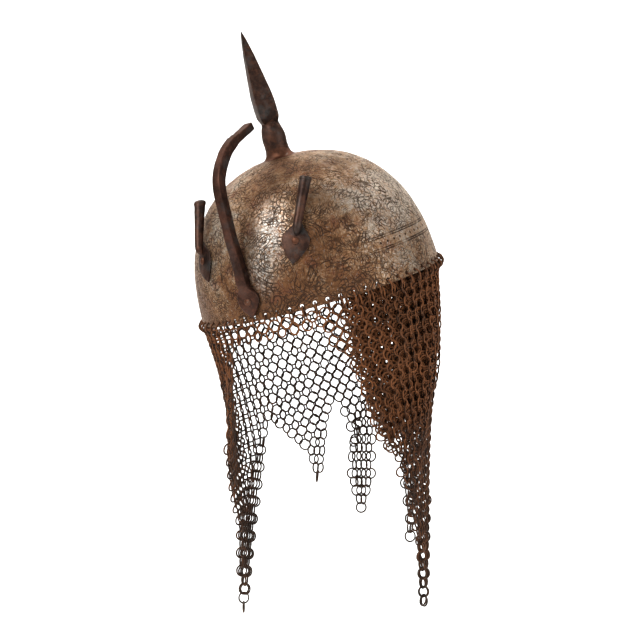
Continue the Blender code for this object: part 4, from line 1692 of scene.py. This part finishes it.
        # Each kind of pull has its pairs, how near and how far apart they may be, and its stiffness.
        pulls = ((pairs["link"], self.near_link, self.reach / MM, 150.0),
                 (pairs["row"], near_row, None, 75.0),
                 (pairs["wide"], self.wide_share * near_wide, None, 30.0),
                 (pairs["skip"], self.near_skip, None, 30.0))
        total = len(here)

        def push(at: np.ndarray) -> np.ndarray:
            """Adds up the weight of each ring and the pulls on it.

            Args:
                at: The rings' middles in millimetres.

            Returns:
                The force on each ring.
            """
            force = np.zeros_like(at)
            force[:, 2] = -1.0
            for couple, low, high, stiff in pulls:
                apart = at[couple[:, 1]] - at[couple[:, 0]]
                length = np.linalg.norm(apart, axis=1)
                stretch = np.minimum(length - low, 0)
                if high is not None:
                    stretch += np.maximum(length - high, 0)
                along = (stiff * stretch / np.maximum(length, 1e-9))[:, None] * apart
                for axis in range(3):
                    force[:, axis] += np.bincount(couple[:, 0], along[:, axis], total)
                    force[:, axis] -= np.bincount(couple[:, 1], along[:, axis], total)
            force[row == 0] = 0
            return force

        self.relax(here, push, self.steps)
        for (level, column), ring in self.index.items():
            if level > self.hem_row:
                above = [self.neighbour(here, level - 1, column + side) for side in (-0.5, 0.5)]
                here[ring] = np.mean([found for found in above if found is not None], 0)
                here[ring, 2] -= self.tail_drop
        self.relax(here, push, self.steps)
        return here

    def relax(self, here: np.ndarray, push: Callable[[np.ndarray], np.ndarray], steps: int) -> None:
        """Moves the rings along the forces on them, faster while they keep going downhill.

        Args:
            here: The rings' middles in millimetres, which it changes.
            push: Gives the force on each ring.
            steps: How many steps it takes.
        """
        speed = np.zeros_like(here)
        step, blend, downhill = 0.02, 0.1, 0
        for _ in range(steps):
            force = push(here)
            if (force * speed).sum() > 0:
                speed = (1 - blend) * speed + blend * force * np.linalg.norm(speed) / np.linalg.norm(force)
                downhill += 1
                if downhill > 5:
                    step, blend = min(step * 1.1, 0.12), blend * 0.99
            else:
                speed[:] = 0
                step, blend, downhill = step * 0.5, 0.1, 0
            speed += force * step
            here += speed * step

    def neighbour(self, here: np.ndarray, row: float, column: float) -> np.ndarray | None:
        """The middle of the ring at a row and column, if there is one."""
        ring = self.index.get((int(row), column % self.rim_rings))
        return None if ring is None else here[ring]

    def axes(self, here: np.ndarray, places: np.ndarray) -> np.ndarray:
        """Turns each ring so that it links with the rows above and below.

        Args:
            here: The rings' middles in millimetres.
            places: Row and column of each ring; not used.

        Returns:
            For each ring, three unit vectors as rows: across, down and the ring's own axis.
        """
        made = np.zeros((len(here), 3, 3))
        for (row, column), ring in self.index.items():
            beside = [self.neighbour(here, row, column + way) for way in (-1, 1)]
            left, right = (here[ring] if found is None else found for found in beside)
            across = right - left
            pitch = np.linalg.norm(across) / max(1, sum(found is not None for found in beside))
            above = [self.neighbour(here, row - 1, column + side) for side in (-0.5, 0.5)]
            below = [self.neighbour(here, row + 1, column + side) for side in (-0.5, 0.5)]
            top = np.mean([p for p in above if p is not None] or [here[ring]], 0)
            bottom = np.mean([p for p in below if p is not None] or [here[ring]], 0)
            down = bottom - top
            if np.linalg.norm(across) < 1e-6:
                across = np.array([1.0, 0.0, 0.0])
                pitch = 3.0
            face = np.cross(across, down)
            face /= max(np.linalg.norm(face), 1e-9)
            down /= max(np.linalg.norm(down), 1e-9)
            side = np.cross(down, face)
            turn = math.radians(np.interp(pitch, *np.transpose(self.turns)))
            turn *= Parity.EVEN.value if row % 2 == 0 else Parity.ODD.value
            axis = face * math.cos(turn) + side * math.sin(turn)
            if row == 0:
                out = self.dome.world(self.rim_places(np.array([column])))[0]
                up = self.dome.turn()[:, 2]
                axis = np.cross(up, out)
                axis /= np.linalg.norm(axis)
                down = -up
            made[ring] = (np.cross(down, axis), down, axis)
        return made

    def rings(self, middles: np.ndarray, axes: np.ndarray, tones: np.ndarray, shell: Shell,
              around: int = 18, thick: int = 6) -> None:
        """Adds wire rings to a shell, rustier and lighter on the side that faces away from the helmet's axis
        and darker on the side that faces it, as painted light and shade.

        Args:
            middles: The rings' middles in millimetres.
            axes: Each ring's three unit vectors.
            tones: How rusty each ring is; the folds' tones carry painted light too.
            shell: Where they go.
            around: Sides along the ring.
            thick: Sides round the wire.
        """
        rng = np.random.default_rng(7)
        size = 1 + rng.normal(0, self.size_spread, len(middles))
        oval = rng.normal(0, self.oval_spread, len(middles))
        long_way, round_way = np.meshgrid(np.arange(around) / around * 2 * math.pi,
                                          np.arange(thick) / thick * 2 * math.pi, indexing="ij")
        row, column = np.meshgrid(np.arange(around), np.arange(thick), indexing="ij")
        corners = [row * thick + column, ((row + 1) % around) * thick + column,
                   ((row + 1) % around) * thick + (column + 1) % thick, row * thick + (column + 1) % thick]
        quads = np.stack(corners, -1).reshape(-1, 4)
        wire = self.wire / 2
        bare = [np.cos(round_way) * np.cos(long_way), np.cos(round_way) * np.sin(long_way),
                np.sin(round_way)]
        for ring, middle in enumerate(middles):
            far = self.ring_radius * size[ring] + wire * np.cos(round_way)
            flat = [far * np.cos(long_way) * (1 + oval[ring]), far * np.sin(long_way) * (1 - oval[ring]),
                    wire * np.sin(round_way)]
            points, normals = (
                sum(part[..., None] * axis for part, axis in zip(parts, axes[ring])).reshape(-1, 3)
                for parts in (flat, bare))
            # Painted light and shade: the wire is lighter where it faces away from the axis and darker where
            # it faces in.
            outward = np.array([middle[0], middle[1], 0.0]) / max(math.hypot(middle[0], middle[1]), 1.0)
            tone = np.clip(tones[ring] + self.painted_outward_light * normals @ outward, 0, 1)
            shell.add_faces(shell.add_points(points + middle * MM, tone=tone) + quads)

    def doubled(self, fold: Fold, here: np.ndarray, places: np.ndarray) -> tuple[np.ndarray, np.ndarray]:
        """Lays a fold behind the outer layer.

        Args:
            fold: The stretch that hangs double.
            here: The settled rings' middles in millimetres.
            places: Row and column of each ring.

        Returns:
            The outer rings that it copies, and the middles of its own rings in millimetres.
        """
        row, column = places.T
        last = fold.last + np.round(1.4 * np.sin(column * 1.7))
        chosen = np.flatnonzero((row <= last) & (column >= fold.low) & (column <= fold.high))
        middles = here[chosen].copy()
        beside = [self.neighbour(here, row[ring], column[ring] + 1) for ring in chosen]
        pitch = np.array([here[ring] * 0 if other is None else other - here[ring]
                          for ring, other in zip(chosen, beside)])
        outward = middles * np.array([1, 1, 0])
        outward /= np.linalg.norm(outward, axis=1, keepdims=True)
        uneven = waves(middles * MM, 45 * MM, 51)[:, None]
        middles += pitch * fold.aside - outward * (fold.inward / MM) * (1 + 0.25 * uneven)
        middles[:, 2] -= fold.down / MM
        return chosen, middles

    def build(self, material: bpy.types.Material) -> list[bpy.types.Object]:
        """Settles the mail and builds it in an upper and a lower piece, with its folds as a third.

        Args:
            material: The rings' finish.

        Returns:
            The pieces.
        """
        places, pairs = self.lay_out()
        here = self.settle(places, pairs)
        axes = self.axes(here, places)
        LOG.info("mail: %d rings, lowest %.1f mm", len(places), here[:, 2].min())
        row = places[:, 0]
        rng = np.random.default_rng(8)
        tones = self.tone + rng.uniform(-self.tone_spread, self.tone_spread, len(places))
        tones -= self.tone_fade * np.clip(row - 13, 0, None)
        upper, lower, fold = Shell(), Shell(), Shell()
        for part, shell in ((row <= self.upper_rows, upper), (row > self.upper_rows, lower)):
            self.rings(here[part], axes[part], tones[part], shell)
        for layer in self.folds:
            chosen, middles = self.doubled(layer, here, places)
            # The folds are painted lighter against the shade they hang in.
            self.rings(middles, axes[chosen], tones[chosen] + self.fold_painted_light, fold, *self.fold_sides)
        return [dress(shell.build(name), material, "mail_iron", "mail_curtain")
                for name, shell in (("mail_upper", upper), ("mail_lower", lower), ("mail_fold", fold))]


# The studio


@dataclass
class Studio:
    """A pale sweep, soft lights and the camera."""

    bearing: float = math.radians(32.05)
    distance: float = 2.0
    lens: float = 137.25
    aim_down: float = 23.85 * MM
    aim_left: float = 0.66 * MM
    floor: float = -0.36

    def directions(self) -> tuple[Vector, Vector]:
        """The way towards the camera, and the way to the right of the picture."""
        back = Vector((math.sin(self.bearing), -math.cos(self.bearing), 0))
        return back, Vector((math.cos(self.bearing), math.sin(self.bearing), 0))

    def sweep(self) -> bpy.types.Object:
        """Builds the pale floor that curves up behind the helmet.

        Returns:
            The floor, clear when it is seen from behind.
        """
        back, right = self.directions()
        profile = [(3.0, self.floor), (-1.2, self.floor)]
        profile += [(-1.2 - math.sin(angle), self.floor + 1 - math.cos(angle))
                    for angle in np.linspace(0.1, math.pi / 2, 14)]
        profile += [(-2.2, 4.0)]
        shell = Shell()
        points = [back * depth + right * side + Vector((0, 0, height)) for depth, height in profile
                  for side in (-4.0, 4.0)]
        first = shell.add_points(np.array(points))
        shell.add_grid(len(profile), 2, first, False)
        made = shell.build("pale_sweep")
        material, sheet, shader = new_material("pale_paper")
        where = sheet.node("ShaderNodeTexCoord").outputs["Object"]
        shade = sheet.between(sheet.noise(where, 3.0, 2.0), 0.3, 0.7, 0.0, 1.0)
        sheet.put(shader.inputs["Base Color"], sheet.mix(shade, (0.90, 0.90, 0.90), (0.93, 0.93, 0.92)))
        shader.inputs["Roughness"].default_value = 0.9
        behind = sheet.node("ShaderNodeNewGeometry").outputs["Backfacing"]
        clear = sheet.node("ShaderNodeBsdfTransparent").outputs[0]
        both = sheet.node("ShaderNodeMixShader", {0: behind, 1: shader.outputs[0], 2: clear})
        sheet.put(material.node_tree.nodes["Material Output"].inputs["Surface"], both.outputs[0])
        made.data.materials.append(material)
        return made

    def light(self, name: str, at: tuple[float, float, float], aim: tuple[float, float, float], size: float,
              power: float) -> None:
        """Adds a soft square light.

        Args:
            name: The light's name.
            at: Where it stands: to the right, towards the camera and up.
            aim: Where it looks, in the same way.
            size: The length of its side.
            power: Its power in watts.
        """
        back, right = self.directions()
        start, end = (right * side + back * near + Vector((0, 0, up)) for side, near, up in (at, aim))
        lamp = bpy.data.lights.new(name, "AREA")
        lamp.shape = "SQUARE"
        lamp.size = size
        lamp.energy = power
        made = bpy.data.objects.new(name, lamp)
        made.location = start
        made.rotation_euler = (end - start).to_track_quat("-Z", "Y").to_euler()
        bpy.context.scene.collection.objects.link(made)

    def build(self) -> None:
        """Sets up the floor, lights, world and camera."""
        self.sweep()
        self.light("key_light", (-1.3, 1.4, 1.3), (0, 0, 0.02), 0.9, 46.0)
        self.light("fill_light", (1.7, 1.3, 0.5), (0, 0, 0), 1.6, 21.0)
        self.light("wall_light", (0, -0.8, 1.3), (0, -2.0, 0.1), 2.0, 60.0)
        world = bpy.data.worlds.new("soft_room")
        world.use_nodes = True
        world.node_tree.nodes["Background"].inputs[0].default_value = (1.0, 1.0, 1.0, 1.0)
        world.node_tree.nodes["Background"].inputs[1].default_value = 0.26
        bpy.context.scene.world = world
        back, right = self.directions()
        lens = bpy.data.cameras.new("camera")
        lens.lens = self.lens
        lens.sensor_width = 36.0
        camera = bpy.data.objects.new("camera", lens)
        camera.location = back * self.distance - right * self.aim_left - Vector((0, 0, self.aim_down))
        camera.rotation_euler = (-back).to_track_quat("-Z", "Y").to_euler()
        bpy.context.scene.collection.objects.link(camera)
        bpy.context.scene.camera = camera
        bpy.context.scene.view_settings.view_transform = "Standard"


DARK_IRON = OldIron(
    "dark_iron_aged", deep=(0.018, 0.010, 0.008), body=(0.062, 0.032, 0.023), rust=(0.120, 0.046, 0.024),
    bright=(0.26, 0.21, 0.17), roughness=0.46, metallic=0.75, cool_share=0.5)
RED_IRON = OldIron(
    "red_iron_aged", deep=(0.024, 0.013, 0.010), body=(0.070, 0.032, 0.022), rust=(0.150, 0.055, 0.032),
    bright=(0.24, 0.18, 0.14), rust_share=0.35, cool_share=0.45)
MAIL_IRON = OldIron(
    "mail_iron_rusted", deep=(0.009, 0.006, 0.005), body=(0.060, 0.025, 0.013), rust=(0.235, 0.082, 0.027),
    bright=(0.36, 0.20, 0.11), patch_size=14 * MM, rust_share=0.35, roughness=0.55, metallic=0.50,
    bump=0.2, rubbed=0.04)


def main() -> None:
    """Builds the helmet's looks in order."""
    logging.basicConfig(level=logging.INFO, format="%(message)s", stream=sys.stdout)
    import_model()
    dome = Dome()
    effects = Effects()
    dark, red = DARK_IRON.build(effects), RED_IRON.build(effects)
    bowl = Bowl(dome)
    bowl.build(EngravedIron().build(effects))
    Spike(dome).build(dark)
    bar = FrontBar(dome)
    bar.build(red)
    holders = [PlumeHolder(dome, side) for side in (1, -1)]
    for holder in holders:
        holder.build(dark)
    build_rivets(dome, bar, holders, dark)
    Mail(dome, bowl.sectors, bowl.hole_height).build(MAIL_IRON.build(effects))
    Studio().build()


if __name__ == "__main__":
    main()
